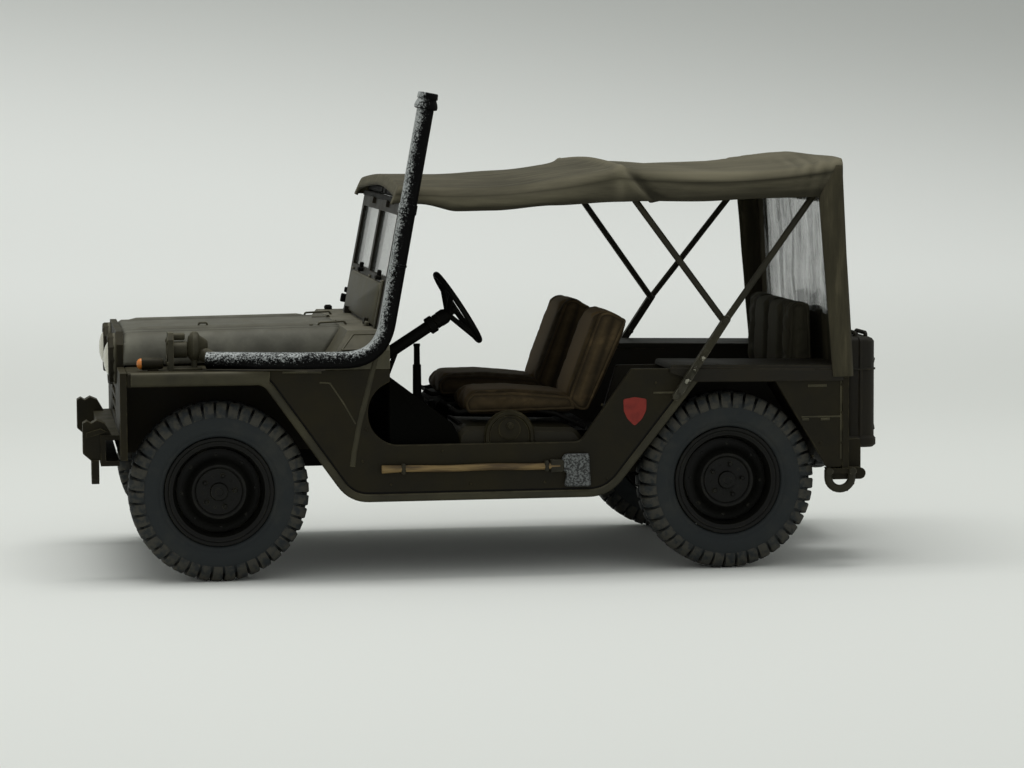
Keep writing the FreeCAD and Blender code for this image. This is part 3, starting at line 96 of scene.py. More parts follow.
class Finish:
    """A material with a principled shader and short calls for its pattern nodes."""

    def __init__(self, name, colour, roughness, specular=0.4, metallic=0.0):
        self.material = bpy.data.materials.new(name)
        self.material.use_nodes = True
        self.tree = self.material.node_tree
        self.shader = self.tree.nodes["Principled BSDF"]
        self.set("Base Color", linear(colour))
        self.set("Roughness", roughness)
        self.set("Specular IOR Level", specular)
        self.set("Metallic", metallic)
        self.place = self.node("TexCoord").outputs["Object"]

    def set(self, socket, value):
        self.put(self.shader.inputs[socket], value)

    def put(self, socket, value):
        if isinstance(value, bpy.types.NodeSocket):
            self.tree.links.new(value, socket)
        else:
            socket.default_value = value

    def node(self, kind, **values):
        made = self.tree.nodes.new("ShaderNode" + kind)
        for key, value in values.items():
            setattr(made, key, value)
        return made

    def stretched(self, scale, place=None):
        """The place scaled by a different amount along each axis."""
        mapping = self.node("Mapping")
        self.put(mapping.inputs["Vector"], place or self.place)
        mapping.inputs["Scale"].default_value = scale
        return mapping.outputs["Vector"]

    def noise(self, size, detail=3.0, rough=0.55, place=None):
        """Noise with blotches of about size millimetres."""
        made = self.node("TexNoise")
        self.put(made.inputs["Vector"], place or self.place)
        made.inputs["Scale"].default_value = 1.0 / (size * MM)
        made.inputs["Detail"].default_value = detail
        made.inputs["Roughness"].default_value = rough
        return made.outputs["Fac"]

    def ramp(self, value, low, high):
        """A value remapped so that low gives 0 and high gives 1, with soft ends."""
        made = self.node("MapRange", interpolation_type="SMOOTHSTEP")
        self.put(made.inputs["Value"], value)
        made.inputs["From Min"].default_value = low
        made.inputs["From Max"].default_value = high
        return made.outputs["Result"]

    def sums(self, operation, a, b=0.0):
        made = self.node("Math", operation=operation)
        self.put(made.inputs[0], a)
        self.put(made.inputs[1], b)
        return made.outputs[0]

    def times(self, a, b):
        return self.sums("MULTIPLY", a, b)

    def plus(self, a, b):
        return self.sums("ADD", a, b)

    def mix(self, factor, a, b):
        made = self.node("Mix", data_type="RGBA")
        self.put(made.inputs["Factor"], factor)
        self.put(made.inputs[6], linear(a) if isinstance(a, tuple) else a)
        self.put(made.inputs[7], linear(b) if isinstance(b, tuple) else b)
        return made.outputs[2]

    def bump(self, height, depth, strength=1.0):
        """Bump of a depth in millimetres."""
        made = self.node("Bump")
        self.put(made.inputs["Height"], height)
        made.inputs["Distance"].default_value = depth * MM
        made.inputs["Strength"].default_value = strength
        self.set("Normal", made.outputs["Normal"])

    def mark(self, name):
        """A mark that the mesh carries from point to point, 0 where it has none."""
        return self.node("Attribute", attribute_name=name).outputs["Fac"]

    def axis(self, letter, vector):
        """X, Y or Z of a place or a direction."""
        split = self.node("SeparateXYZ")
        self.put(split.inputs[0], vector)
        return split.outputs[letter]

    def facing(self, letter):
        """How far a face looks along an axis: 1 along it, 0 across it, -1 against it."""
        return self.axis(letter, self.node("NewGeometry").outputs["Normal"])

    def edges(self, width):
        """1 along outer edges, found where a rounded normal leaves the true one."""
        soft = self.node("Bevel", samples=4)
        soft.inputs["Radius"].default_value = width * MM
        dot = self.node("VectorMath", operation="DOT_PRODUCT")
        self.put(dot.inputs[0], soft.outputs["Normal"])
        self.put(dot.inputs[1], self.node("NewGeometry").outputs["Normal"])
        return self.ramp(self.sums("SUBTRACT", 1.0, dot.outputs["Value"]), 0.02, 0.22)


print("shader helpers ready")

# %% [markdown]
# ## Olive paint
#
# Kit paint dries flat, and its maker washes thin dark paint into the corners and drags an
# almost dry brush over the edges. So the base coat gets a soft mottle and the outer edges
# get broken pale rubs. Faces that look up get a second colour, partly dust and partly
# painted light and shade from above.


# %% Olive paint
BARE_PRIMER = (158, 156, 140)
SHADOW = (13, 12, 8)


def olive(name, coat, dust, rub_and_highlight, roughness=0.62, dust_and_light_amount=0.75, edge=0.16, specular=0.2):
    """Mottled coat, dust and painted top light on what looks up, rubbed edges, and chips and shade where
    marked.
    """
    f = Finish(name, coat, roughness, specular=specular)
    mottle = f.ramp(f.noise(5.0, 5.0, 0.6), 0.3, 0.75)
    colour = f.mix(mottle, tuple(c * 0.72 for c in coat), coat)
    # Faces that look up take dust and painted light from above.
    upward = f.ramp(f.facing("Z"), 0.35, 0.95)
    dust_and_light_on_top = f.times(upward, f.ramp(f.noise(3.0, 4.0), 0.2, 0.6))
    colour = f.mix(f.times(dust_and_light_on_top, dust_and_light_amount), colour, dust)
    worn = f.times(f.edges(edge), f.ramp(f.noise(1.6, 4.0), 0.42, 0.62))
    colour = f.mix(f.times(worn, 0.6), colour, rub_and_highlight)
    chips = f.times(f.mark("chips"), f.ramp(f.noise(0.7, 3.0), 0.48, 0.54))
    colour = f.mix(chips, colour, BARE_PRIMER)
    f.set("Base Color", f.mix(f.mark("shade"), colour, SHADOW))
    f.set("Roughness", f.plus(f.times(mottle, 0.12), roughness - 0.08))
    f.bump(f.noise(0.5, 2.0), 0.02, 0.5)
    return f.material


BODY_PAINT = olive("olive_paint", (33, 29, 14), (62, 58, 42), (92, 86, 60), specular=0.14)
# Lighter copy of the olive paint for parts on top: painted highlight.
LIT_PAINT = olive("painted_highlight_olive_paint", (78, 75, 58), (112, 108, 93), (124, 120, 100))
# Lighter copy for raised flanges, rims and beads: painted highlight where they catch the light.
TRIM_HIGHLIGHT_PAINT = olive("trim_painted_highlight", (60, 57, 41), (92, 88, 70), (116, 110, 84))
# Far lighter copy for the hood: painted highlight, and its darker colour on faces that look up is painted
# shade.
HOOD_HIGHLIGHT_PAINT = olive("hood_painted_highlight", (116, 115, 103), (82, 80, 68), (134, 130, 112))
SHADE_PAINT = olive("shaded_paint", (30, 26, 14), (38, 34, 21), (74, 68, 48), dust_and_light_amount=0.4)
# Near-black copy for the underbody, the inside and parts in deep shade: painted shade.
DARK_AND_SHADE_PAINT = olive("underbody_dark_and_painted_shade", (10, 9, 6), (16, 15, 10), (48, 44, 32), roughness=0.75,
                    specular=0.12)
DEEP_PAINT = olive("deep_shade_paint", (4, 4, 2), (5, 5, 3), (24, 22, 15), roughness=0.85, dust_and_light_amount=0.1,
                   specular=0.04)
print("materials so far:", len(bpy.data.materials))

# %% [markdown]
# ## Canvas
#
# The canvas is the same plastic as the body, painted paler and dry-brushed along its
# length, so its streaks run fore and aft. Noise that is stretched along one axis gives
# such streaks. Marks on the mesh say where the cloth is rubbed pale and where it carries
# painted highlight, where dark wash lies and where painted shade lies.


# %% Painted canvas
def cloth(name, coat, dark, light, streak):
    """Painted canvas with streaks along one axis, pale where marked for rubs and painted highlight, and dark
    where marked for wash and painted shade.
    """
    f = Finish(name, coat, 0.8, specular=0.12)
    lines = f.noise(1.0, 4.0, 0.65, f.stretched(streak))
    dull = tuple(0.7 * c + 0.1 * d for c, d in zip(coat, dark))
    colour = f.mix(f.ramp(lines, 0.3, 0.7), dull, coat)
    blotch = f.ramp(f.noise(6.0, 4.0), 0.4, 0.7)
    colour = f.mix(f.times(blotch, 0.35), colour, dull)
    pale = f.times(f.ramp(lines, 0.52, 0.72), 0.55)
    colour = f.mix(f.sums("MAXIMUM", f.times(pale, 0.6), f.mark("rub_and_highlight")), colour, light)
    f.set("Base Color", f.mix(f.mark("wash_and_shade"), colour, dark))
    f.bump(f.noise(0.28, 2.0), 0.02, 0.5)
    return f.material


CANVAS = cloth("canvas", (91, 87, 71), (38, 36, 27), (116, 111, 92), (0.10, 1.0, 1.0))
CURTAIN_CANVAS = cloth("curtain_canvas", (68, 64, 49), (40, 37, 27), (92, 86, 69), (1.0, 1.0, 0.10))
SEAT_CANVAS = cloth("seat_canvas", (66, 55, 37), (26, 21, 12), (110, 92, 64), (0.16, 1.0, 0.3))
BENCH_CANVAS = cloth("bench_canvas", (60, 57, 45), (38, 35, 26), (84, 80, 64), (1.0, 1.0, 0.12))
print("canvas in four colours")

# %% [markdown]
# ## Rubber, black paint, steel and wood
#
# The tyres get a brown dust wash. The black pipe gets silver scuffed on with a sponge,
# which leaves hard-edged speckles, so its noise goes through a steep ramp. The axe has
# a head of speckled steel and a handle with its grain along it.


# %% Rubber, black paint, steel and wood
def rubber(name):
    """Dark rubber with a dust wash, and brown dust on the blocks that touch the road."""
    f = Finish(name, (30, 30, 28), 0.66, specular=0.22)
    wash = f.ramp(f.noise(4.0, 5.0, 0.65), 0.45, 0.72)
    # The darker rubber tone is bluish grey, a painted sheen; the paler tone is the dust wash.
    colour = f.mix(f.times(wash, 0.6), (31, 35, 36), (46, 47, 43))
    broken = f.ramp(f.noise(0.9, 3.0), 0.35, 0.6)
    f.set("Base Color", f.mix(f.times(f.mark("rub_and_highlight"), broken), colour, (82, 77, 64)))
    f.bump(f.noise(0.35, 3.0), 0.03, 0.6)
    return f.material


def scuffed_black(name):
    """Black paint with silver sponge marks, thickest on the faces that look up or forward, where they are also
    a painted highlight.
    """
    f = Finish(name, (5, 5, 5), 0.5, specular=0.06)
    speckle = f.noise(0.24, 4.0, 0.78)
    # More silver where the light falls, up and forward: partly scuffs, partly painted highlight.
    scuffed_and_lit = f.plus(f.times(f.facing("Z"), 0.55), f.times(f.facing("X"), 0.75))
    reach = f.plus(f.times(scuffed_and_lit, 0.32), f.times(f.noise(3.5, 2.0), 0.2))
    silver = f.ramp(f.plus(speckle, reach), 0.68, 0.88)
    f.set("Base Color", f.mix(silver, (4, 4, 4), (166, 170, 168)))
    f.set("Metallic", f.times(silver, 0.35))
    f.bump(speckle, 0.03, 0.7)
    return f.material


def speckled_steel(name):
    """Grey steel broken up by dark speckles."""
    f = Finish(name, (90, 92, 92), 0.45, metallic=0.3)
    speckle = f.ramp(f.noise(0.24, 3.0, 0.7), 0.45, 0.55)
    f.set("Base Color", f.mix(speckle, (36, 37, 36), (96, 99, 98)))
    return f.material


def bare_wood(name):
    """Wood with its grain along the X axis."""
    f = Finish(name, (128, 104, 62), 0.6)
    grain = f.noise(0.7, 3.0, 0.6, f.stretched((0.12, 1.0, 1.0)))
    f.set("Base Color", f.mix(f.ramp(grain, 0.35, 0.65), (68, 52, 26), (122, 101, 60)))
    return f.material


TYRE_RUBBER = rubber("tyre_rubber")
PIPE_BLACK = scuffed_black("pipe_black")
STEEL = speckled_steel("steel_paint")
WOOD = bare_wood("wood")
print("materials so far:", len(bpy.data.materials))

# %% [markdown]
# ## Clear sheets
#
# Windows and lenses are thin clear plastic. Real refraction isn't needed for a sheet as
# thin as this, so a part of it is simply see-through, and its gloss and a little haze say
# that something is there. The soft rear window also has dark streaks along its folds,
# painted shade and reflection.


# %% Clear sheets
def clear(name, tint, opacity, roughness, folds=0.0):
    """Thin clear sheet: mostly see-through, with its gloss, a little haze and dark streaks along its folds as
    painted shade and reflection.
    """
    f = Finish(name, tint, roughness, specular=0.6)
    if folds:
        # Dark streaks along the folds: painted shade and reflection.
        lines = f.ramp(f.noise(1.5, 4.0, 0.6, f.stretched((1.0, 1.0, 0.16))), 0.38, 0.62)
        f.set("Base Color", f.mix(f.times(lines, folds), (66, 68, 68), tint))
    haze = f.ramp(f.noise(3.0, 3.0), 0.3, 0.7)
    f.set("Alpha", f.plus(f.times(haze, 0.12), opacity))
    return f.material


GLASS = clear("windscreen_sheet", (90, 92, 89), opacity=0.54, roughness=0.12)
WINDOW_SHEET = clear("window_sheet", (226, 228, 226), opacity=0.52, roughness=0.16, folds=0.9)
AMBER = Finish("amber", (196, 118, 46), 0.3, specular=0.5).material
# Pale, mostly opaque head lamp domes: a painted reflection.
LAMP_SHEET = clear("lamp_lens_painted_reflection", (204, 202, 186), opacity=0.78, roughness=0.12)
print("materials so far:", len(bpy.data.materials))

# %% [markdown]
# ## Finishes on the CAD pieces
#
# A piece whose shape is right keeps its CAD mesh and only takes a new finish. A narrow
# bevel modifier breaks its hard edges, as on real moulded plastic, so they catch light.


# %% Dress the CAD pieces
def dress(node, material, edge):
    """Give a CAD piece its finish and, where edge isn't 0, soft edges that wide."""
    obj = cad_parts[node]
    obj.data.materials.clear()
    obj.data.materials.append(material)
    if edge:
        bevel = obj.modifiers.new("soft edges", "BEVEL")
        bevel.width = edge * MM
        bevel.segments = 2
        bevel.limit_method = "ANGLE"
        bevel.angle_limit = radians(35)
        bevel.harden_normals = True


COATS = [
    (BODY_PAINT, 0.12, ["grille", "rear_panel", "bumper", "tow_hook", "inner_fenders"]),
    (LIT_PAINT, 0.12, ["cowl"]),
    (SHADE_PAINT, 0.12, ["screen_frame"]),
    (DARK_AND_SHADE_PAINT, 0.08, ["floor_pan", "seat_frames", "rear_seat_frame", "front_axle", "rear_axle",
                         "driveline"]),
    (GLASS, 0.0, ["screen_glass"]),
]
for material, edge, nodes in COATS:
    for node in nodes:
        dress(node, material, edge)
    print(material.name, "on", len(nodes), "CAD pieces")

# %% [markdown]
# ## Making a mesh piece
#
# The rest is built point by point. A piece starts as a list of points in millimetres and
# faces that name them. Points may carry a mark, such as how rubbed the paint is there,
# and the finish reads it.


# %% Mesh helpers
def piece(name, points, faces, material, slot, body="car", sharp=40, marks=None):
    """Object of points in millimetres, hung on the body it rides on. The slot is not used."""
    mesh = bpy.data.meshes.new(name)
    mesh.from_pydata([Vector(p) * MM for p in points], [], faces)
    mesh.materials.append(material)
    mesh.polygons.foreach_set("use_smooth", [True] * len(mesh.polygons))
    for mark, values in (marks or {}).items():
        mesh.attributes.new(mark, "FLOAT", "POINT").data.foreach_set("value", values)
    mesh.update()
    mesh.set_sharp_from_angle(angle=radians(sharp))
    obj = bpy.data.objects.new(name, mesh)
    scene.collection.objects.link(obj)
    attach(obj, body)
    return obj


def turned(profile, steps, closed=False):
    """Points and faces of a profile of (y, radius) spun about the Y axis."""
    points = [(r * sin(2 * pi * i / steps), y, r * cos(2 * pi * i / steps))
              for i in range(steps) for y, r in profile]
    n = len(profile)
    faces = []
    for i in range(steps):
        for k in range(n if closed else n - 1):
            a, b = i * n + k, i * n + (k + 1) % n
            c, d = (i + 1) % steps * n + (k + 1) % n, (i + 1) % steps * n + k
            faces.append((a, b, c, d))
    return points, faces


def grid_faces(rows, columns, wrap=False):
    """Faces of a grid of points that is listed row by row."""
    faces = []
    for i in range(rows - 1):
        for j in range(columns if wrap else columns - 1):
            k = (j + 1) % columns
            faces.append((i * columns + j, i * columns + k, (i + 1) * columns + k, (i + 1) * columns + j))
    return faces


def capped(rings, sides):
    """Faces of a tube of rings with as many points each, and of its two flat ends."""
    last = (rings - 1) * sides
    ends = [tuple(reversed(range(sides))), tuple(last + k for k in range(sides))]
    return grid_faces(rings, sides, wrap=True) + ends


def joined(parts):
    """One list of points and faces from several."""
    points, faces = [], []
    for some_points, some_faces in parts:
        start = len(points)
        points += some_points
        faces += [tuple(i + start for i in face) for face in some_faces]
    return points, faces


print("mesh helpers ready")

# %% [markdown]
# ## Tyres
#
# An all-ground tyre has a rounded carcass, and blocks that start near the middle of the
# tread, cross the shoulder and run a little way down the sidewall. Each block is its own
# small bevelled bar here, because the notched outline at the shoulder is what the eye
# reads first on such a wheel.

# %% Tyre carcass and lugs
LUGS = 42
CARCASS = [(1.75, 6.52), (1.98, 6.62), (2.16, 6.95), (2.2, 7.12), (2.3, 7.2), (2.4, 7.65), (2.46, 8.2),
           (2.45, 8.7), (2.36, 9.2), (2.18, 9.6), (1.9, 9.84), (1.4, 9.95), (0.7, 10.0)]
BLOCK_TOP = [(0.3, 10.68), (0.95, 10.75), (1.65, 10.72), (2.1, 10.55), (2.36, 10.2), (2.54, 9.7),
             (2.58, 9.25), (2.5, 8.98)]
BLOCK_FOOT = [(0.3, 9.8), (0.95, 9.8), (1.6, 9.75), (1.9, 9.65), (2.1, 9.45), (2.3, 9.15), (2.4, 8.95),
              (2.38, 8.85)]


PITCH = 2 * pi / LUGS
BLOCK_SHARE = 0.385


def tread_block(side, middle):
    """One block of the tread as points, faces and how rubbed each point is."""
    half = BLOCK_SHARE * PITCH
    points, rubs = [], []
    for (ty, tr), (fy, fr) in zip(BLOCK_TOP, BLOCK_FOOT):
        swing = middle + 0.10 * PITCH * (ty - 1.4)
        edge_y, edge_r = ty + (fy - ty) * 0.12, tr + (fr - tr) * 0.12
        ring = [(-half * 1.08, fy, fr, 0.0), (-half, edge_y, edge_r, 0.5), (-half * 0.82, ty, tr, 0.35),
                (half * 0.82, ty, tr, 0.35), (half, edge_y, edge_r, 0.5), (half * 1.08, fy, fr, 0.0)]
        for angle, y, r, rub_and_highlight in ring:
            points.append((r * sin(swing + angle), side * y, r * cos(swing + angle)))
            rubs.append(rub_and_highlight if ty > 1.2 else 0.3 * rub_and_highlight)
    last = (len(BLOCK_TOP) - 1) * 6
    faces = grid_faces(len(BLOCK_TOP), 6)
    faces += [(0, 1, 2, 3, 4, 5), tuple(last + k for k in (5, 4, 3, 2, 1, 0))]
    if side > 0:
        faces = [tuple(reversed(face)) for face in faces]
    return points, faces, rubs


def tyre_mesh():
    """Whole tyre about the Y axis, with the blocks of its two sides half a pitch apart."""
    parts = [turned(CARCASS + [(-y, r) for y, r in reversed(CARCASS)], 126, closed=True)]
    marks = [0.0] * len(parts[0][0])
    for side, shift in ((1, 0.0), (-1, 0.5)):
        for i in range(LUGS):
            points, faces, rubs = tread_block(side, (i + shift) * PITCH)
            parts.append((points, faces))
            marks += rubs
    points, faces = joined(parts)
    return points, faces, marks


# Place, the body it rides on, and how far it is turned to face outwards.
WHEELS = [("front_left", "wheel_front_left", 0.0), ("front_right", "wheel_front_right", pi),
          ("rear_left", "wheel_rear_left", 0.0), ("rear_right", "wheel_rear_right", pi),
          ("spare", "car", pi / 2)]


def wheel_copies(points, faces, name, part, material, slot, sharp, marks=None):
    """The same wheel piece at each of the five places, each turned by a different angle."""
    for index, (place, body, facing) in enumerate(WHEELS):
        node = "spare_" + part if place == "spare" else part + "_" + place
        low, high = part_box(node)
        centre = Vector([(a + b) / 2 / MM for a, b in zip(low, high)])
        turn = Matrix.Rotation(facing, 3, "Z") @ Matrix.Rotation(0.7 + 1.9 * index, 3, "Y")
        placed = [centre + turn @ Vector(p) for p in points]
        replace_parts(piece(name + "_" + place, placed, faces, material, slot, body, sharp, marks), node)


points, faces, rubs = tyre_mesh()
wheel_copies(points, faces, "lugged_tyre", "tyre", TYRE_RUBBER, "tyre_rubber", 50, {"rub_and_highlight": rubs})
print("tyre faces:", len(faces))

# %% [markdown]
# ## Rims
#
# A pressed steel rim is a barrel with rolled lips and a dished disc whose raised ring
# carries the bolt circle. The spun profile gives the steps, and the nuts, the hub cap and
# the row of small domes round the disc are set on it.

# %% Rims with nuts and hub caps
RIM_FRONT = [(0.0, 5.05), (0.3, 5.15), (1.5, 5.35), (1.72, 5.5), (1.8, 5.72), (1.86, 5.78), (1.9, 5.98),
             (2.06, 6.08), (2.15, 6.2), (2.17, 6.34), (2.12, 6.46), (2.0, 6.5)]
RIM_BACK = [(-1.9, 6.5), (-2.12, 6.46), (-2.16, 6.3), (-2.0, 6.0), (-1.8, 5.7), (-1.7, 5.45), (-0.5, 5.35)]
DISC = [(2.05, 0.0), (2.05, 0.42), (1.98, 0.5), (1.98, 0.85), (1.9, 1.0), (1.5, 1.12), (1.38, 1.3),
        (1.34, 2.55), (1.4, 2.72), (1.62, 2.84), (1.74, 3.02), (1.72, 3.22), (1.5, 3.42), (0.95, 3.75),
        (0.55, 4.1), (0.4, 4.6), (0.3, 5.0), (0.1, 5.1)]


def dome(angle, radius, y, size, tall, sides=6):
    """Small domed or six-sided stud standing on the disc."""
    cx, cz = radius * sin(angle), radius * cos(angle)
    rings = [(1.0, 0.0), (0.95, 0.75 * tall), (0.6, tall)]
    points = [(cx + size * k * sin(2 * pi * j / sides), y + up, cz + size * k * cos(2 * pi * j / sides))
              for k, up in rings for j in range(sides)]
    faces = grid_faces(3, sides, wrap=True)
    faces.append(tuple(2 * sides + j for j in range(sides)))
    return points, faces


def rim_mesh():
    """Barrel with its lips, dished disc, five nuts with studs between, eight domes."""
    well = [(1.85, 6.2), (1.8, 5.95), (-1.8, 5.95), (-1.85, 6.2)]
    disc_back = [(y - 0.35, r) for y, r in reversed(DISC)]
    parts = [turned(RIM_FRONT + well + RIM_BACK, 72, closed=True), turned(DISC + disc_back, 60, closed=True)]
    for i in range(5):
        angle = 2 * pi * i / 5 + 0.3
        parts.append(dome(angle, 1.95, 1.3, 0.3, 0.42))
        parts.append(dome(angle + pi / 5, 1.92, 1.3, 0.13, 0.12, 8))
    for i in range(8):
        parts.append(dome(2 * pi * i / 8 + 0.15, 4.36, 0.3, 0.2, 0.22, 8))
    return joined(parts)


RIM_PAINT = olive("rim_paint", (11, 11, 8), (14, 13, 10), (70, 68, 54), roughness=0.45, dust_and_light_amount=0.0,
                  edge=0.2, specular=0.16)
points, faces = rim_mesh()
wheel_copies(points, faces, "dished_rim", "rim", RIM_PAINT, "dark_olive_paint", 35)
print("rim faces:", len(faces))

# %% [markdown]
# ## Canvas top
#
# Canvas stretched over two hoops sags between them and makes a sharp crest where a hoop
# lifts it. Its section is the same all along: nearly flat over the top, a round shoulder
# and a side that hangs down to a wavy lower edge. So a few lines from front to back are
# enough to draw it, and a sag is taken off each line between two hoops.

# %% Section of the canvas top
FRONT, HOOP, BACK = 22.4, 48.2, 75.6
SCREEN_TOP = 45.0
CANVAS_HALF = 22.9
SHOULDER = 0.95
# Shares of the half section where the flat top and the round shoulder end.
FLAT_TO, SHOULDER_TO = 0.62, 0.74
# Heights at the front, at the hoop and at the back, then the sag of each bay.
CROWN_LINE = (2.8, 4.4, 5.1, 0.6, 0.85)
SHOULDER_LINE = (1.95, 3.85, 4.6, 0.93, 1.05)
FLAP_LEAN = tan(radians(24))
# Station of the lower edge and its height from the windshield's top.
LOWER_EDGE = [(22.4, -0.2), (24.5, -0.3), (28.7, -1.2), (32.9, -1.15), (40.2, -0.6), (48.0, -0.25),
              (51.1, -0.2), (57.6, -0.3), (66.4, 0.0), (72.6, 0.1), (75.2, 0.2)]


def bell(distance, width):
    """Smooth bump: 1 at no distance, nearly 0 at twice the width."""
    return exp(-(distance / width) ** 2)


def share(value):
    """A value kept between 0 and 1."""
    return max(0.0, min(1.0, value))


def eased(points, s):
    """Smooth curve through (station, value) points."""
    for (a, va), (b, vb) in zip(points, points[1:]):
        if s <= b:
            t = max(0.0, (s - a) / (b - a))
            return va + (vb - va) * t * t * (3 - 2 * t)
    return points[-1][1]


def tent(s, front, hoop, back, sag_front, sag_back):
    """Height over the windshield's top: straight between the hoops, less the sag."""
    if s < HOOP:
        t = (s - FRONT) / (HOOP - FRONT)
        return front + (hoop - front) * t - 4 * sag_front * t * (1 - t)
    t = (s - HOOP) / (BACK - HOOP)
    return hoop + (back - hoop) * t - 4 * sag_back * t * (1 - t)


def canvas_section(s, v, inset=0.0):
    """Point (y, z above the windshield's top) and outward direction of the cloth at v from -1 to 1."""
    side = 1 if v >= 0 else -1
    a = abs(v)
    half = eased([(22.4, 21.4), (32.0, 22.5), (42.0, CANVAS_HALF), (75.2, CANVAS_HALF)], s) - inset
    crown = tent(s, *CROWN_LINE) - inset
    shoulder = tent(s, *SHOULDER_LINE) - inset
    if a < FLAT_TO:
        t = a / FLAT_TO
        return side * t * (half - SHOULDER), crown + (shoulder - crown) * t ** 1.7, (0, 1)
    if a < SHOULDER_TO:
        turn = (a - FLAT_TO) / (SHOULDER_TO - FLAT_TO) * pi / 2
        y = half - SHOULDER + SHOULDER * sin(turn)
        return side * y, shoulder - SHOULDER + SHOULDER * cos(turn), (side * sin(turn), cos(turn))
    t = (a - SHOULDER_TO) / (1 - SHOULDER_TO)
    top = shoulder - SHOULDER
    return side * half, top + (eased(LOWER_EDGE, s) - top) * t, (side, 0)


print("crown and lower edge at the front hoop:", [round(canvas_section(HOOP, v)[1], 2) for v in (0.0, 1.0)])

# %% [markdown]
# ## Ridges in the canvas
#
# Narrow ridges rise where the cloth is pulled: one runs down from the front hoop, and long
# ones lie along the rear bay. A crumpled patch fills the rear corner, and slow noise makes
# the rest uneven. They could be sculpted by hand, but a sum of small bumps stays easy to
# move about, and the next cell uses it again for the paint.


# %% Ridges
def canvas_ridge(s, v, side):
    """Outward swell of the cloth in millimetres at a station, v from 0 at the crown to 1."""
    drop = max(0.0, (v - 0.70) / 0.30)
    on_side = share((v - 0.6) / 0.15)
    # A crest over the hoop, and the pulled ridge that leans back below it.
    line = s - (HOOP + 0.2 + 3.4 * drop)
    swell = 0.35 * bell(s - HOOP - 0.3, 0.7) * (1 - drop)
    swell += on_side * (0.5 * bell(line, 0.55) - 0.3 * bell(line - 1.4, 0.9))
    # Three long ridges on the side of the rear bay.
    bay = share((s - 52.5) / 5) * share((75.1 - s) / 4)
    for k, start, slope in ((0, 0.16, 0.05), (1, 0.45, -0.08), (2, 0.78, -0.16)):
        course = start + slope * (s - 53) / 22 + 0.025 * sin(0.5 * s + 2 * k + side)
        swell += bay * on_side * 0.17 * bell(drop - course, 0.085)
    # The side of the front bay bellies out.
    front = sin(pi * share((s - FRONT) / (HOOP - FRONT)))
    swell += on_side * front * (0.55 * sin(pi * min(1.0, drop * 1.15)) - 0.2 * drop)
    # Crumples at the rear corner, and slow waves all over.
    corner = bell(hypot(s - 72.5, 5 * (v - 0.72)), 2.6)
    swell += 0.16 * corner * sin(3.4 * (s - 72) + 16 * v)
    wave = noise.noise(Vector((s * 0.16, v * 2.6 * side, 1.7)))
    return swell + 0.22 * wave * (1 - bell(s - HOOP, 2.0))


print("ridge on the side below the front hoop:", round(canvas_ridge(HOOP + 1.9, 0.85, 1), 3), "mm")

# %% [markdown]
# ## Canvas sheet
#
# The sheet is one grid of points from the flap over the windshield to the rear edge. Its
# front edge is folded in and leans forward. The ridges also drive the rubbed and the dark
# colour, as a dry brush and a wash would. The top of the rear bay gets a painted highlight,
# and its side, a line under the shoulder and the band towards the lower edge get painted
# shade. A modifier gives the sheet its thickness.


# %% Canvas sheet
def leaning(s, z):
    """How far forward the cloth over the windshield leans at a height over its top."""
    return (3.0 - z) * FLAP_LEAN * max(0.0, 1 - (s - FRONT) / 5) ** 2


def canvas_point(s, v):
    """Place of the cloth with its ridges, and how far they lift it."""
    y, z, normal = canvas_section(s, v)
    swell = canvas_ridge(s, abs(v), 1 if v >= 0 else -1)
    ease = min(1.0, 0.1 + (s - FRONT) / 3)
    y += swell * normal[0] * ease
    z += swell * normal[1] * ease
    return (at(s - leaning(s, z)), y, SCREEN_TOP + z), swell


def canvas_sheet(rows=150, columns=112):
    """Grid of the cloth with its front edge folded in, and how pale and how dark each point is: rubs and
    painted highlight, wash and painted shade.
    """
    widths = [-1 + 2 * j / (columns - 1) for j in range(columns)]
    points, rub_and_highlight, wash_and_shade = [], [], []
    for inset in (1.25, 0.9, 0.45, 0.12):
        for v in widths:
            y, z, _ = canvas_section(FRONT, v, inset)
            points.append((at(FRONT - 0.12 - leaning(FRONT, z)), y, SCREEN_TOP + z))
            rub_and_highlight.append(0.12)
            wash_and_shade.append(0.0)
    for i in range(rows):
        s = FRONT + (BACK - FRONT) * i / (rows - 1)
        behind = share((s - 50) / 8)
        for v in widths:
            point, swell = canvas_point(s, v)
            points.append(point)
            a = abs(v)
            on_side = share((a - 0.72) / 0.05)
            # Pale on the shoulder, on raised ridges and over the hoop, and on top of the rear bay as painted
            # highlight.
            crest = 0.35 * bell(a - 0.68, 0.05) + max(0.0, swell) * 0.9 + 0.3 * bell(s - HOOP, 0.6)
            rub_and_highlight.append(min(0.8, crest + 0.4 * behind * (1 - on_side)))
            # Darker on the side of the rear bay, in a line under the shoulder and towards the lower edge as
            # painted shade; dark wash lies in the troughs.
            shadow = 0.35 * behind * on_side + 0.5 * bell(a - 0.765, 0.018)
            shadow += 0.8 * max(0.0, (a - 0.86) / 0.14)
            wash_and_shade.append(min(0.9, max(0.0, -swell) * 2.0 + shadow))
    return points, grid_faces(rows + 4, columns), rub_and_highlight, wash_and_shade


def thickened(obj, thickness):
    """Give a sheet its thickness, inwards."""
    solid = obj.modifiers.new("thickness", "SOLIDIFY")
    solid.thickness = thickness * MM
    solid.offset = -1.0


points, faces, rub_and_highlight, wash_and_shade = canvas_sheet()
canvas_top = piece("canvas_top", points, faces, CANVAS, "canvas", sharp=60,
                   marks={"rub_and_highlight": rub_and_highlight, "wash_and_shade": wash_and_shade})
thickened(canvas_top, 0.4)
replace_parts(canvas_top, "canopy")
print("canvas top faces:", len(faces))

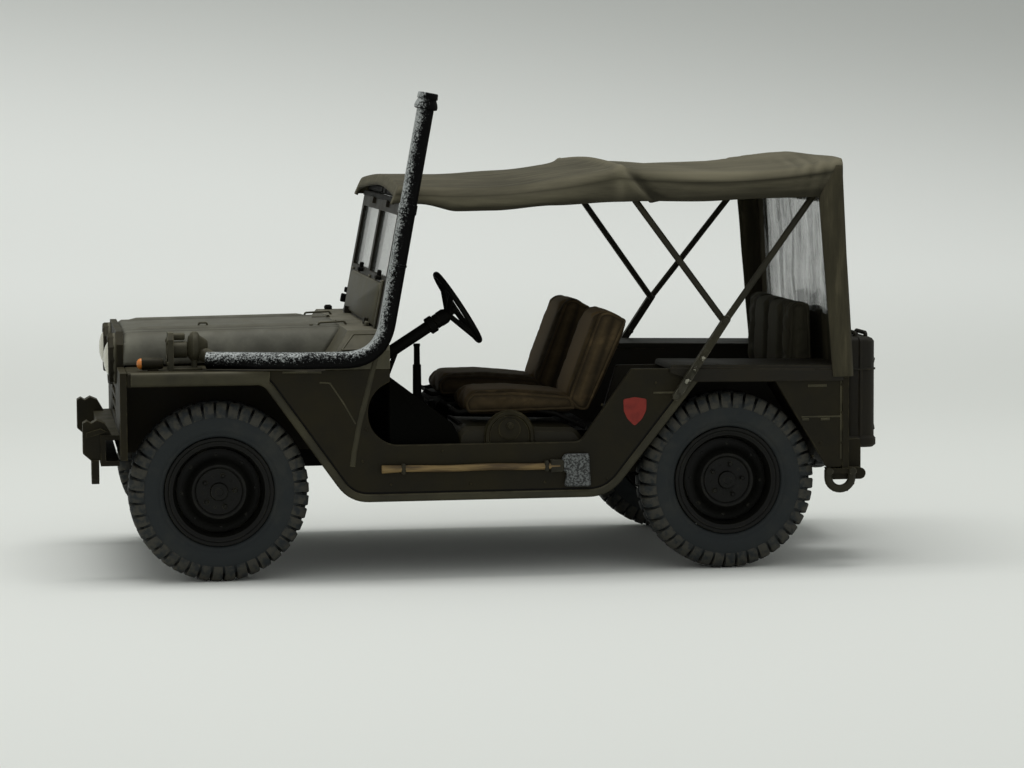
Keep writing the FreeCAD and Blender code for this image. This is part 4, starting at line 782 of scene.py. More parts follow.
# %% [markdown]
# ## Rear curtain
#
# The curtain hangs from the top's rear edge, wraps a narrow strip round each corner and
# has a wide opening for its window. It is a grid again, with its columns and rows placed
# on the window's edges, and the faces inside the window left out.

# %% Rear curtain
CURTAIN_FOOT = 76.9
CURTAIN_LOW, CURTAIN_HIGH = 23.3, 48.9
WINDOW_HALF, WINDOW_LOW, WINDOW_HIGH = 19.4, 30.6, 44.2


def canvas_edge(y):
    """Height of the canvas top's rear edge, just inside the cloth."""
    fall = (CROWN_LINE[2] - SHOULDER_LINE[2]) * min(1.0, abs(y) / (CANVAS_HALF - SHOULDER)) ** 1.7
    return SCREEN_TOP + CROWN_LINE[2] - fall - 0.15


def rear_station(z):
    """Station of the curtain's outer face at a height."""
    return BACK + (CURTAIN_FOOT - BACK) * (49.0 - z) / (49.0 - CURTAIN_LOW)


def curtain_place(zone, value, z):
    """Place on the curtain at a height: on a side strip, round a corner or on the rear."""
    sign = -1 if zone.endswith("far") else 1
    back = rear_station(z)
    if zone.startswith("strip"):
        strip = (1.9 + (z - CURTAIN_LOW) * 0.032) * max(0.12, min(1.0, (49.2 - z) / 4.2))
        flutter = 0.12 * sin(0.9 * z) + 0.1 * noise.noise(Vector((z * 0.3, 0.4, 2.0)))
        return at(back - 0.6 - strip * value), sign * (23.2 + flutter * value * 0.6), z
    if zone.startswith("corner"):
        angle = value * pi / 2
        return at(back - 0.6 + 0.6 * sin(angle)), sign * (22.6 + 0.6 * cos(angle)), z
    ripple = 0.16 * sin(value * 0.8 + z * 0.1) * (1 if abs(value) > WINDOW_HALF else 0.4)
    lift = max(0.0, (z - WINDOW_HIGH - 0.5) / (48.4 - WINDOW_HIGH))
    z += lift * (canvas_edge(value) - CURTAIN_HIGH)
    return at(rear_station(z) + ripple * (1 - lift)), value, z


def curtain_mesh():
    """Grid of the curtain from one side strip to the other, without the window's faces."""
    side = [(1.0 - k / 4, "strip") for k in range(5)]
    turn = [(k / 5, "corner") for k in range(1, 5)]
    ys = [22.6, 21.9, 21.2, 20.5, WINDOW_HALF + 0.5, WINDOW_HALF]
    ys += [WINDOW_HALF * (1 - 2 * k / 24) for k in range(1, 24)] + [-y for y in reversed(ys)]
    across = side + turn + [(y, "rear") for y in ys] + [(1 - k, "corner_far") for k, _ in turn]
    across += [(1 - k, "strip_far") for k, _ in side]
    heights = [CURTAIN_LOW + (WINDOW_LOW - 0.5 - CURTAIN_LOW) * k / 8 for k in range(9)] + [WINDOW_LOW]
    heights += [WINDOW_LOW + (WINDOW_HIGH - WINDOW_LOW) * k / 12 for k in range(1, 13)]
    heights += [WINDOW_HIGH + 0.5 + (CURTAIN_HIGH - WINDOW_HIGH - 0.5) * k / 6 for k in range(7)]
    points = [curtain_place(zone, value, z) for z in heights for value, zone in across]
    faces = []
    for face in grid_faces(len(heights), len(across)):
        y = sum(points[i][1] for i in face) / 4
        z = sum(points[i][2] for i in face) / 4
        if not (abs(y) < WINDOW_HALF and WINDOW_LOW < z < WINDOW_HIGH):
            faces.append(face)
    return points, faces


points, faces = curtain_mesh()
curtain = piece("rear_curtain", points, faces, CURTAIN_CANVAS, "canvas", sharp=60)
thickened(curtain, 0.35)
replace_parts(curtain, "canopy")
print("curtain faces:", len(faces))

# %% [markdown]
# ## Rear window
#
# A soft clear sheet is sewn into the curtain's opening. It is never quite flat, so it is a
# fine grid that buckles a little in the middle and lies still along its edges. The
# buckles catch the light, where a flat sheet would look like glass.


# %% Window sheet
def window_mesh(rows=26, columns=60):
    """Grid of the clear sheet, a little larger than its opening and slightly buckled."""
    half, low, high = WINDOW_HALF + 0.35, WINDOW_LOW - 0.35, WINDOW_HIGH + 0.35
    points = []
    for i in range(rows):
        z = low + (high - low) * i / (rows - 1)
        for j in range(columns):
            y = half * (2 * j / (columns - 1) - 1)
            inside = min(1.0, (half - abs(y)) / 3)
            buckle = 0.22 * noise.noise(Vector((y * 0.22, z * 0.10, 3.0)))
            buckle += 0.10 * sin(y * 0.9 + 0.5 * sin(z * 0.6))
            points.append((at(rear_station(z) - 0.42 + buckle * inside), y, z))
    return points, grid_faces(rows, columns)


points, faces = window_mesh()
window = piece("rear_window_sheet", points, faces, WINDOW_SHEET, "clear_plastic", sharp=60)
thickened(window, 0.06)
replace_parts(window, "rear_window")
print("window faces:", len(faces))

# %% [markdown]
# ## Round forms
#
# The CAD keeps its round bars and tubes faceted to stay light. Corners of the path are
# first rounded to a bend radius, as a pipe bender would leave them.


# %% Swept tubes
def bent(path, radius, steps=8):
    """Path of points with each inner corner replaced by a bend of a radius."""
    route = [Vector(path[0])]
    for a, b, c in zip(path, path[1:], path[2:]):
        a, b, c = Vector(a), Vector(b), Vector(c)
        back, ahead = (a - b).normalized(), (c - b).normalized()
        half = back.angle(ahead) / 2
        reach = min(radius / tan(half), 0.48 * (a - b).length, 0.48 * (c - b).length)
        start, end = b + back * reach, b + ahead * reach
        for k in range(steps + 1):
            t = k / steps
            route.append(start.lerp(b, t).lerp(b.lerp(end, t), t))
    route.append(Vector(path[-1]))
    return route


def swept(route, radius, sides=20, closed=False):
    """Tube of a radius (one number, or one for each point) along a route."""
    route = [Vector(p) for p in route]
    n = len(route)
    radii = radius if isinstance(radius, list) else [radius] * n
    points = []
    across = None
    for i, p in enumerate(route):
        before = route[i - 1] if i or closed else p
        after = route[(i + 1) % n] if i < n - 1 or closed else p
        along = (after - before).normalized()
        if across is None:
            across = along.orthogonal().normalized()
        across = (across - along * across.dot(along)).normalized()
        up = along.cross(across)
        for k in range(sides):
            a = 2 * pi * k / sides
            points.append(tuple(p + (across * cos(a) + up * sin(a)) * radii[i]))
    if closed:
        last = (n - 1) * sides
        seam = [(last + k, last + (k + 1) % sides, (k + 1) % sides, k) for k in range(sides)]
        return points, grid_faces(n, sides, wrap=True) + seam
    return points, capped(n, sides)


def square_to(axis):
    """Two directions at right angles to an axis and to each other."""
    across = axis.orthogonal().normalized()
    return across, axis.cross(across)


def spun(origin, axis, profile, steps=32):
    """Profile of (distance along the axis, radius) spun about an axis from an origin."""
    origin, axis = Vector(origin), Vector(axis).normalized()
    across, up = square_to(axis)
    points = []
    for t, r in profile:
        for k in range(steps):
            a = 2 * pi * k / steps
            points.append(tuple(origin + axis * t + (across * cos(a) + up * sin(a)) * max(r, 0.001)))
    return points, capped(len(profile), steps)


def bolt(station, y, z, size, sign=1, tall=0.3):
    """Six-sided bolt head facing sideways."""
    profile = [(0, size), (tall * 0.6, size), (tall, size * 0.6)]
    return spun((at(station), sign * y, z), (0, sign, 0), profile, 6)


print("tube helpers ready")

# %% [markdown]
# ## Fording pipe
#
# The exhaust is led up beside the windshield so that the car can wade. It is one thick
# pipe with two bends, a sleeve where its halves meet, a thin seam and a hooded cap. Its
# black paint is sponged with silver where it would scuff.

# %% Fording pipe
PIPE_Y, PIPE_Z, PIPE_R = 23.68, 26.4, 1.02
ELBOW = Vector((at(19.2), PIPE_Y, PIPE_Z))
TIP = Vector((at(24.8), PIPE_Y, 56.2))
CLIMB = (TIP - ELBOW).normalized()
SLEEVE = [(0, 0.9), (0, 1.06), (0.08, 1.12), (1.12, 1.12), (1.2, 1.06), (1.2, 0.9)]
SEAM = [(0, 0.95), (0.04, 1.09), (0.3, 1.09), (0.34, 0.95)]
CAP = [(-0.25, 0.9), (-0.25, 1.2), (-0.15, 1.38), (0.15, 1.4), (0.5, 1.3), (0.9, 1.12), (0.98, 1.1),
       (0.98, 1.2), (1.05, 1.24), (1.62, 1.2), (1.72, 1.12), (1.72, 0.0)]


def pipe_at(z):
    """Middle of the climbing pipe at a height."""
    return ELBOW + CLIMB * ((z - PIPE_Z) / CLIMB.z)


route = bent([(at(-1.2), PIPE_Y - 3.3, PIPE_Z), (at(9.5), PIPE_Y, PIPE_Z), ELBOW, TIP], 5.3, 14)
parts = [swept(route, PIPE_R, 28), spun(pipe_at(43.6), CLIMB, SLEEVE), spun(pipe_at(37.4), CLIMB, SEAM),
         spun(TIP, CLIMB, CAP, 36)]
points, faces = joined(parts)
fording = piece("fording_pipe_smooth", points, faces, PIPE_BLACK, "pipe_black", sharp=35)
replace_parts(fording, "fording_pipe")
print("pipe faces:", len(faces))

# %% [markdown]
# ## Hoops of the canvas top
#
# Two steel hoops carry the top. Each is a round tube. The rear one ends in flat bars that
# bolt to the wheel arch, and paint has chipped off them where they fold.

# %% Hoops
FOOT_Y = 23.65
JOINT = (60.9, 30.3)
HOOP_PAINT = olive("hoop_paint", (44, 41, 27), (56, 53, 40), (150, 146, 128), roughness=0.6, dust_and_light_amount=0.4,
                   edge=0.1)


def hoop(station, foot_y):
    """Round hoop from the fold at the left, over the top, down to the right."""
    side = [(at(JOINT[0]), foot_y, JOINT[1]), (at(station), 21.0, 47.05), (at(station), 10.5, 47.8)]
    path = side + [(at(station), 0.0, 47.95)] + [(x, -y, z) for x, y, z in reversed(side)]
    return swept(bent(path, 1.8), 0.4, 14)


def flat_bar(sign, low, high, wide, thick):
    """Flat bar with rounded ends between two (station, z) places."""
    foot = Vector((at(low[0]), sign * FOOT_Y, low[1]))
    along = Vector((at(high[0]), sign * FOOT_Y, high[1])) - foot
    length = along.length
    along.normalize()
    across = Vector((-along.z, 0, along.x))
    turns = [pi * k / 8 - pi / 2 for k in range(9)]
    edge = [(wide - wide * cos(a), wide * sin(a)) for a in turns]
    edge += [(length - wide + wide * cos(a), -wide * sin(a)) for a in turns]
    points = []
    for side in (-1, 1):
        face = foot + Vector((0, thick / 2 * side, 0))
        points += [tuple(face + along * t + across * w) for t, w in edge]
    return points, capped(2, len(edge))


parts = [hoop(73.7, FOOT_Y)]
for sign in (1, -1):
    parts.append(flat_bar(sign, (54.6, 20.9), (61.3, 30.9), 0.44, 0.9))
    for station, z, size in ((60.9, 30.3, 0.4), (58.1, 25.9, 0.34), (57.2, 24.6, 0.34), (56.2, 23.1, 0.38)):
        parts.append(bolt(station, FOOT_Y + 0.5, z, size, sign))
        if station < 60:
            parts.append(spun((at(station), sign * 22.6, z), (0, sign, 0), [(0, 0.3), (0.6, 0.3)], 8))
points, faces = joined(parts)
chipped = [bell(hypot(at(57.2) - p[0], p[2] - 24.6), 2.6) if abs(p[1]) > 23.9 else 0.0 for p in points]
rear_hoop = piece("rear_hoop", points, faces, HOOP_PAINT, "dark_olive_paint", sharp=40,
                  marks={"chips": chipped})
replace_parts(rear_hoop, "main_bow")
points, faces = hoop(48.8, FOOT_Y - 0.9)
front_hoop = piece("front_hoop", points, faces, HOOP_PAINT, "dark_olive_paint", sharp=40)
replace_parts(front_hoop, "front_bow")
print("hoops made")

# %% [markdown]
# ## Seats
#
# Each seat is a padded block in a sewn canvas cover. The panels are a little larger than
# the block and are sewn together along its side outline, so the stuffing swells them out
# between the seams. A short cloth simulation does just that: the seams are pinned, a
# pressure pushes from inside, and no gravity pulls. It runs on a copy at forty times the
# size, because cloth settings are meant for things of about a metre.

# %% Padded blocks
GROWN = 40.0
SEAM_ROUND = 0.45


def drawn(place):
    """A (station, z) place of a side drawing as (x, z)."""
    return Vector((at(place[0]), place[1]))


def rounded(outline, radius, steps=5):
    """Closed side outline with its corners rounded. A corner may give its own radius."""
    corners = [drawn(corner) for corner in outline]
    route = []
    for i, b in enumerate(corners):
        a, c = corners[i - 1], corners[(i + 1) % len(corners)]
        own = outline[i][2] if len(outline[i]) > 2 else radius
        reach = min(own, 0.45 * (a - b).length, 0.45 * (c - b).length)
        start, end = b + (a - b).normalized() * reach, b + (c - b).normalized() * reach
        for k in range(steps + 1):
            t = k / steps
            route.append(start.lerp(b, t).lerp(b.lerp(end, t), t))
    return route


def shrunk(route, inset):
    """The outline moved inwards, which is to its left where it runs anticlockwise."""
    area = sum(a.x * b.y - b.x * a.y for a, b in zip(route, route[1:] + route[:1]))
    inward = inset if area > 0 else -inset
    moved = []
    for i, p in enumerate(route):
        along = (route[(i + 1) % len(route)] - route[i - 1]).normalized()
        moved.append(p + Vector((-along.y, along.x)) * inward)
    return moved


def block(route, y0, y1):
    """Closed block over a side outline, with its two rims rounded."""
    steps = [pi / 2 * k / 4 for k in range(5)]
    layers = [(y0 + SEAM_ROUND * (1 - cos(a)), SEAM_ROUND * (1 - sin(a))) for a in steps]
    layers += [(y0 + y1 - y, inset) for y, inset in reversed(layers)]
    points = [(p.x, y, p.y) for y, inset in layers for p in shrunk(route, inset)]
    return points, capped(len(layers), len(route))


def evaluated(obj):
    """Mesh of an object with its modifiers worked out."""
    return bpy.data.meshes.new_from_object(obj.evaluated_get(bpy.context.evaluated_depsgraph_get()))


def even_mesh(points, faces, size):
    """The block remade with even faces, at simulation size."""
    mesh = bpy.data.meshes.new("block")
    mesh.from_pydata([Vector(p) * MM * GROWN for p in points], [], faces)
    obj = bpy.data.objects.new("block", mesh)
    scene.collection.objects.link(obj)
    remesh = obj.modifiers.new("even faces", "REMESH")
    remesh.mode = "VOXEL"
    remesh.voxel_size = size * MM * GROWN
    obj.data = evaluated(obj)
    obj.modifiers.clear()
    return obj


print("blocks are simulated at", GROWN, "times their size")

# %% [markdown]
# ## Seams
#
# The simulation and the paint both ask how far a place is from the nearest seam. The seams
# are broken up into close-set places, and a search tree finds the nearest one at once,
# where a plain loop over all of them would take minutes.


# %% Seams
class Seams:
    """Where a block's cover is sewn: along its two rims and along extra lines."""

    def __init__(self, route, y0, y1, lines=(), channels=()):
        self.y0, self.y1, self.channels = y0, y1, channels
        self.rim = self.tree(zip(route, route[1:] + route[:1]))
        self.lines = self.tree((drawn(a), drawn(b)) for a, b in lines) if lines else None

    def tree(self, segments):
        """Close-set places along some segments, ready to be searched."""
        dense = []
        for a, b in segments:
            steps = max(1, int((b - a).length / 0.12))
            dense += [a.lerp(b, k / steps) for k in range(steps)]
        made = kdtree.KDTree(len(dense))
        for i, p in enumerate(dense):
            made.insert((p.x, p.y, 0), i)
        made.balance()
        return made

    def distance(self, x, y, z):
        """Distance in millimetres from a place on the cover to its nearest seam."""
        side = min(y - self.y0, self.y1 - y)
        out = self.rim.find((x, z, 0))[2]
        nearest = max(0.0, max(side, out) - 0.2)
        if self.lines and side < 0.5:
            nearest = min(nearest, self.lines.find((x, z, 0))[2])
        if out < 0.5:
            for channel in self.channels:
                nearest = min(nearest, abs(y - channel))
        return nearest


print("seams ready")

# %% [markdown]
# ## Swelling the blocks
#
# Blender's cloth modifier can blow a closed cover up like a balloon. The vertices near a
# seam are pinned, and no point may move further than a cap, so the cushions stay in the
# space that the CAD gives them. What comes out is kept as a plain mesh.

# %% Swell the blocks
# The cover is pinned this near to a seam, in millimetres.
PIN_REACH = 0.24
FRAMES = 18


def swollen(obj, seams, cap):
    """Pin the seams, blow the cover up with a cloth simulation and keep the result."""
    still = [v.co.copy() for v in obj.data.vertices]
    pins = [i for i, p in enumerate(still) if seams.distance(*(p / (MM * GROWN))) < PIN_REACH]
    obj.vertex_groups.new(name="seams").add(pins, 1.0, "REPLACE")
    settings = obj.modifiers.new("stuffing", "CLOTH").settings
    settings.quality = 5
    settings.mass = 0.3
    settings.bending_stiffness = 0.3
    settings.shrink_min = -0.06
    settings.use_pressure = True
    settings.uniform_pressure_force = 4.0
    settings.vertex_group_mass = "seams"
    settings.effector_weights.gravity = 0.0
    for frame_number in range(1, FRAMES + 1):
        scene.frame_set(frame_number)
    swelled = evaluated(obj)
    obj.modifiers.clear()
    most = cap * MM * GROWN
    for start, vertex in zip(still, swelled.vertices):
        move = vertex.co - start
        if move.length > most:
            move *= most / move.length
        vertex.co = start + move
    scene.frame_set(1)
    obj.data = swelled
    print("simulated with", len(pins), "pinned points")


print("simulation of", FRAMES, "frames ready")

# %% [markdown]
# ## Cushions and their rails
#
# The two front seats are alike, and the bench has three seams across it. Dark wash lies
# along every seam and the middle of each panel is worn pale. A thin cord of piping is
# sewn round both sides, and bent rails of round bar carry the front seats.


# %% Cushions
def cushion(name, node, outline, y0, y1, lines=(), channels=(), cap=0.55, rub_and_highlight=0.5, size=0.36,
            canvas=SEAT_CANVAS, wash=0.75):
    """One padded block in its cover, with piping round both rims.

    Lines and channels are seams besides the rims. The cap is how far the cover may swell,
    size is the grain of its even mesh, and rub and wash say how worn and how dark it is.
    """
    route = shrunk(rounded(outline, 0.6), 0.15)
    seams = Seams(route, y0, y1, lines, channels)
    obj = even_mesh(*block(route, y0, y1), size)
    swollen(obj, seams, cap)
    obj.modifiers.new("smooth", "SUBSURF").levels = 1
    mesh = evaluated(obj)
    points = [tuple(v.co / (MM * GROWN)) for v in mesh.vertices]
    faces = [tuple(f.vertices) for f in mesh.polygons]
    bpy.data.objects.remove(obj)
    away = [seams.distance(*p) for p in points]
    marks = {"wash_and_shade": [wash * bell(d, 0.35) for d in away],
             "rub_and_highlight": [rub_and_highlight * (1 - bell(d, 1.1)) ** 2 for d in away]}
    made = piece(name, points, faces, canvas, "seat_canvas", sharp=80, marks=marks)
    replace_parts(made, node)
    rims = [swept([(p.x, y, p.y) for p in shrunk(route, 0.2)], 0.19, 8, closed=True)
            for y in (y0 + 0.2, y1 - 0.2)]
    piece(name + "_piping", *joined(rims), canvas, "seat_canvas", sharp=80)
    print(name, "has", len(faces), "faces")


CUSHION = [(30.2, 19.1), (29.8, 20.6), (30.8, 21.8), (36.0, 21.85), (43.1, 21.2), (43.9, 19.3)]
BACKREST = [(43.8, 19.2), (42.5, 20.6), (46.5, 31.2), (47.8, 31.5), (50.2, 30.3), (45.2, 19.1)]
BENCH = [(60.0, 17.2), (60.0, 19.8), (60.6, 20.4), (71.0, 20.2), (71.0, 17.2)]
BENCH_BACK = [(71.3, 17.2), (71.8, 31.4), (72.8, 31.9), (74.4, 31.6), (75.0, 17.2)]
for side, middle in (("left", 12.6), ("right", -12.6)):
    y0, y1 = middle - 5.3, middle + 5.3
    cushion("cushion_" + side, "seat_cushion_" + side, CUSHION, y0, y1, rub_and_highlight=0.35, cap=0.35)
    cushion("backrest_" + side, "seat_back_" + side, BACKREST, y0, y1,
            lines=[((44.7, 19.6), (48.5, 31.0))], rub_and_highlight=0.75, cap=0.4)
for name, node, outline, channel, wash in (
        ("bench_cushion", "rear_seat_cushion", BENCH, 5.8, 0.4),
        ("bench_backrest", "rear_seat_back", BENCH_BACK, 7.6, 0.25)):
    cushion(name, node, outline, -11.6, 11.6, channels=(-channel, 0.0, channel), size=0.4,
            canvas=BENCH_CANVAS, wash=wash)

RAIL = [(28.2, 19.9), (29.2, 19.3), (32.0, 19.75), (37.9, 19.6), (41.1, 19.0), (44.8, 17.2)]
rails = []
for middle in (12.6, -12.6):
    for y in (middle - 4.9, middle + 4.9):
        rails.append(swept(bent([(at(s), y, z) for s, z in RAIL], 1.2), 0.28, 10))
    for s, z in ((29.2, 19.3), (36.0, 19.4), (44.6, 17.4)):
        rails.append(swept([(at(s), middle - 4.9, z), (at(s), middle + 4.9, z)], 0.24, 8))
piece("seat_rails", *joined(rails), DARK_AND_SHADE_PAINT, "dark_olive_paint")
print("seats made")

# %% [markdown]
# ## Small hard parts
#
# Two more ways of making a part cover the fittings. A hull wraps the fewest flat faces
# round a set of points, which gives blocks and plates with broken corners. A plate is a
# side outline with a thickness and a narrow chamfer on both its edges.


# %% Blocks and plates
def hulled(points):
    """Closed convex block round some points."""
    work = bmesh.new()
    for p in points:
        work.verts.new(p)
    bmesh.ops.convex_hull(work, input=list(work.verts))
    loose = [v for v in work.verts if not v.link_faces]
    bmesh.ops.delete(work, geom=loose, context="VERTS")
    bmesh.ops.dissolve_limit(work, angle_limit=0.01, verts=list(work.verts), edges=list(work.edges))
    bmesh.ops.recalc_face_normals(work, faces=list(work.faces))
    work.verts.index_update()
    made = [tuple(v.co) for v in work.verts], [tuple(v.index for v in f.verts) for f in work.faces]
    work.free()
    return made


def chamfered(low, high, cut=0.12):
    """Box between two corners of (x, y, z) with its edges cut."""
    points = []
    for x, ix in ((low[0], 1), (high[0], -1)):
        for y, iy in ((low[1], 1), (high[1], -1)):
            for z, iz in ((low[2], 1), (high[2], -1)):
                points += [(x, y + iy * cut, z + iz * cut), (x + ix * cut, y, z + iz * cut),
                           (x + ix * cut, y + iy * cut, z)]
    return hulled(points)


def side_plate(outline, y0, y1, round_off=0.2, cut=0.1, steps=3):
    """Plate of a side outline of (station, z) between two widths, its edges chamfered."""
    route = rounded(outline, round_off, steps)
    layers = [(y0, cut), (y0 + cut, 0.0), (y1 - cut, 0.0), (y1, cut)]
    points = [(p.x, y, p.y) for y, inset in layers for p in shrunk(route, inset)]
    return points, capped(4, len(route))


print("faces of a chamfered box:", len(chamfered((0, 0, 0), (1, 1, 1))[1]))

# %% [markdown]
# ## Rings, beads and fittings
#
# A ring is a tube swept round a circle, and a bead is a low line with a rounded top, like
# a weld or a rolled edge. Most fittings are several such parts in one piece, and Blender
# then turns all their faces outwards.


# %% Rings, beads and fittings
def tube_ring(centre, axis, radius, stock, steps=48, sides=10):
    """Round ring of a radius about an axis, made of bar with a radius of stock."""
    across, up = square_to(Vector(axis).normalized())
    turns = [2 * pi * k / steps for k in range(steps)]
    route = [Vector(centre) + (across * cos(a) + up * sin(a)) * radius for a in turns]
    return swept(route, stock, sides, closed=True)


def bead(path, y, half, proud, steps=3):
    """Raised line with a rounded top along a path of (station, z) on a wall that faces sideways."""
    route = [Vector((at(s), 0, z)) for s, z in path]
    sign = 1 if y > 0 else -1
    turns = [pi * k / steps for k in range(steps + 1)]
    profile = [(-1, -0.1)] + [(-cos(a), proud * sin(a)) for a in turns] + [(1, -0.1)]
    points = []
    for i, p in enumerate(route):
        along = (route[min(i + 1, len(route) - 1)] - route[max(i - 1, 0)]).normalized()
        across = Vector((-along.z, 0, along.x))
        for wide, up in profile:
            points.append(tuple(p + across * half * wide + Vector((0, y + sign * up, 0))))
    return points, capped(len(route), len(profile))


def fitting(name, parts, material, slot, replaces=(), sharp=35, shade=None):
    """One piece of several closed parts. Where shade is given, it tells how dark a point is."""
    points, faces = joined(parts)
    marks = {"shade": [shade(*p) for p in points]} if shade else None
    made = piece(name, points, faces, material, slot, sharp=sharp, marks=marks)
    work = bmesh.new()
    work.from_mesh(made.data)
    bmesh.ops.recalc_face_normals(work, faces=list(work.faces))
    work.to_mesh(made.data)
    work.free()
    if replaces:
        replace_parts(made, *replaces)


def both(sign, a, b):
    """Two distances from the middle, on the side that sign gives, the lower one first."""
    return sorted((sign * a, sign * b))


print("rings and beads ready")

# %% [markdown]
# ## Body sides
#
# Each side is one folded sheet: cowl side, sill and rear quarter, with the front fender's
# top bent inwards. Its lower corners are round. A rolled rim stiffens the fender's edge, a
# narrow flange follows the wheel openings, and a thin dark line of painted shade lies in
# the crease beside it.

# %% Body sides
DOOR_CURVE = [(21.6 - 3.9 * cos(radians(a)), 19.9 + 3.9 * sin(radians(a))) for a in range(72, -82, -9)]
SIDE = [(67.2, 23.1), (57.9, 23.1, 0.5), (46.9, 9.25, 2.6), (15.4, 9.25, 2.4), (5.3, 23.5, 0.8),
        (-10.8, 23.5, 0.3), (-10.8, 25.2, 1.0), (20.4, 25.2)] + DOOR_CURVE
SIDE += [(43.3, 16.0, 0.7), (49.6, 24.7), (75.7, 24.2), (75.7, 12.2, 0.3), (73.8, 12.1, 0.4)]
FENDER_TOP = [(-10.8, 24.4), (-10.8, 25.2, 0.8), (20.4, 25.2), (20.4, 24.4)]
FENDER_RIM = [(-10.3, 24.4), (-2.0, 24.4), (5.2, 24.36), (6.0, 24.3)]
CORNER_STEPS = 8
SKIN = 22.6


def inside_dark(_, y, z):
    """1 on what faces into the car, where no light reaches."""
    return 1.0 if abs(y) < 22.3 and z < 25.0 else 0.0


def flange_path(inset):
    """Line at a distance in from the lower edge, from the rear wheel opening to the front fender."""
    route = shrunk(rounded(SIDE, 0.25, CORNER_STEPS), inset)
    corner = CORNER_STEPS + 1
    return [(AXLE_X - p.x, p.y) for p in route[corner + 3:5 * corner - 2]]


for name, sign in (("left", 1), ("right", -1)):
    parts = [side_plate(SIDE, *both(sign, 21.8, SKIN), round_off=0.25, steps=CORNER_STEPS),
             side_plate(FENDER_TOP, *both(sign, 12.9, 22.2), round_off=0.1)]
    fitting("body_skin_" + name, parts, BODY_PAINT, "olive_paint", ["body_side_" + name], shade=inside_dark)
    y = sign * SKIN
    trims = [bead(flange_path(0.5), y, 0.46, 0.3, steps=6), bead(FENDER_RIM, y, 0.82, 0.45, steps=8)]
    fitting("body_flange_" + name, trims, TRIM_HIGHLIGHT_PAINT, "olive_paint", sharp=60)
    # A thin near-black bead beside the flange: painted shade in the crease.
    fitting("body_shade_line_" + name, [bead(flange_path(1.08), y, 0.13, 0.03)], DARK_AND_SHADE_PAINT, "dark_olive_paint")
print("side outline:", len(SIDE), "corners, flange:", len(flange_path(0.5)), "places")

# %% [markdown]
# ## Rear wheel boxes
#
# Over each rear wheel the tub has a box: an inner wall, a liner that follows the wheel
# opening, and a flat shelf whose outer edge is bent down over the side.

# %% Rear wheel boxes
SHELF = [(54.3, 24.4), (54.5, 25.1, 0.3), (75.7, 24.7), (75.7, 24.0)]
SHELF_LIP = [(54.2, 24.1), (54.3, 24.75, 0.2), (75.7, 24.15), (75.7, 22.75), (57.6, 22.95, 0.2)]
INNER = [(45.4, 11.2), (49.4, 24.4), (75.7, 24.4), (75.7, 12.2), (72.2, 12.2), (71.2, 11.2)]
LINER = [(47.6, 10.9), (57.1, 23.4), (67.4, 23.4), (74.0, 12.4), (74.9, 12.4), (68.0, 24.1), (56.6, 24.1),
         (46.8, 11.4)]
for name, sign in (("left", 1), ("right", -1)):
    parts = [side_plate(INNER, *both(sign, 12.8, 13.6)), side_plate(LINER, *both(sign, 13.5, 21.9)),
             side_plate(SHELF, *both(sign, 12.8, 22.9)),
             side_plate(SHELF_LIP, *both(sign, 22.4, 23.05), round_off=0.25, cut=0.12)]
    fitting("wheel_box_" + name + "_folded", parts, SHADE_PAINT, "olive_paint", ["wheel_box_" + name])
print("wheel boxes made")

# %% [markdown]
# ## Hood
#
# The hood is pressed from one sheet. Its crown is nearly flat with two long ribs, a crease
# marks each shoulder, and a wide curve rolls down to the engine bay wall. That curve is
# why its side catches the light from above, so the section is drawn with care and then
# carried along the hood, with its rear edge on the slope of the cowl.


# %% Hood skin
HOOD_FRONT, HOOD_BACK = -10.8, 15.6
HOOD_CROWN = 29.4


def hood_section():
    """Half section as (y, drop below the crown)."""
    line = []
    for k in range(37):
        y = 0.3 * k
        line.append((y, 0.06 * (y / 10.8) ** 2 - 0.34 * bell(y - 8.6, 0.62)))
    line += [(10.95, 0.12), (11.08, 0.22), (11.2, 0.16)]
    for k in range(1, 11):
        a = pi / 2 * k / 10
        line.append((11.2 + 1.9 * sin(a), 0.16 + 2.8 * (1 - cos(a))))
    return line + [(13.1, 3.5), (13.1, 4.0)]


def hood_skin(rows=44):
    """Grid of the hood from front to back, and how dark each point is beside ribs and creases."""
    half = hood_section()
    section = [(-y, drop) for y, drop in reversed(half[1:])] + half
    points, shade = [], []
    for i in range(rows):
        for y, drop in section:
            low = max(0.0, drop)
            rear_edge = HOOD_BACK - 3.0 * low / 4.5
            back = (rear_edge - HOOD_FRONT) * i / (rows - 1)
            s = HOOD_FRONT + back
            rib = min(0.0, drop) * share(min((s + 9.6) / 1.2, 13.2 - s))
            lip = 0.35 * max(0.0, 1 - back / 0.5) ** 2 if low <= 1 else 0.0
            points.append((at(s), y, HOOD_CROWN + 0.3 * back / 26.4 - low - rib - lip))
            a = abs(y)
            shade.append(0.75 * bell(a - 11.08, 0.12) + 0.4 * bell(a - 7.75, 0.2) + 0.4 * bell(a - 9.5, 0.2))
    return points, grid_faces(rows, len(section)), shade


points, faces, shade = hood_skin()
hood = piece("hood_skin", points, faces, HOOD_HIGHLIGHT_PAINT, "olive_paint", sharp=30, marks={"shade": shade})
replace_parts(hood, "hood")
thickened(hood, 0.35)
print("hood faces:", len(faces))

# %% [markdown]
# ## Inside the tub
#
# Through the door opening the eye meets only dark shapes: the sloped toe board, the fuel
# tank under the driver's seat and a tool box under the other. They are modelled where they
# lie, because they close off the view to the paper behind the car. The tank is filled
# through the side, under a round cap in a raised frame with an arched top.

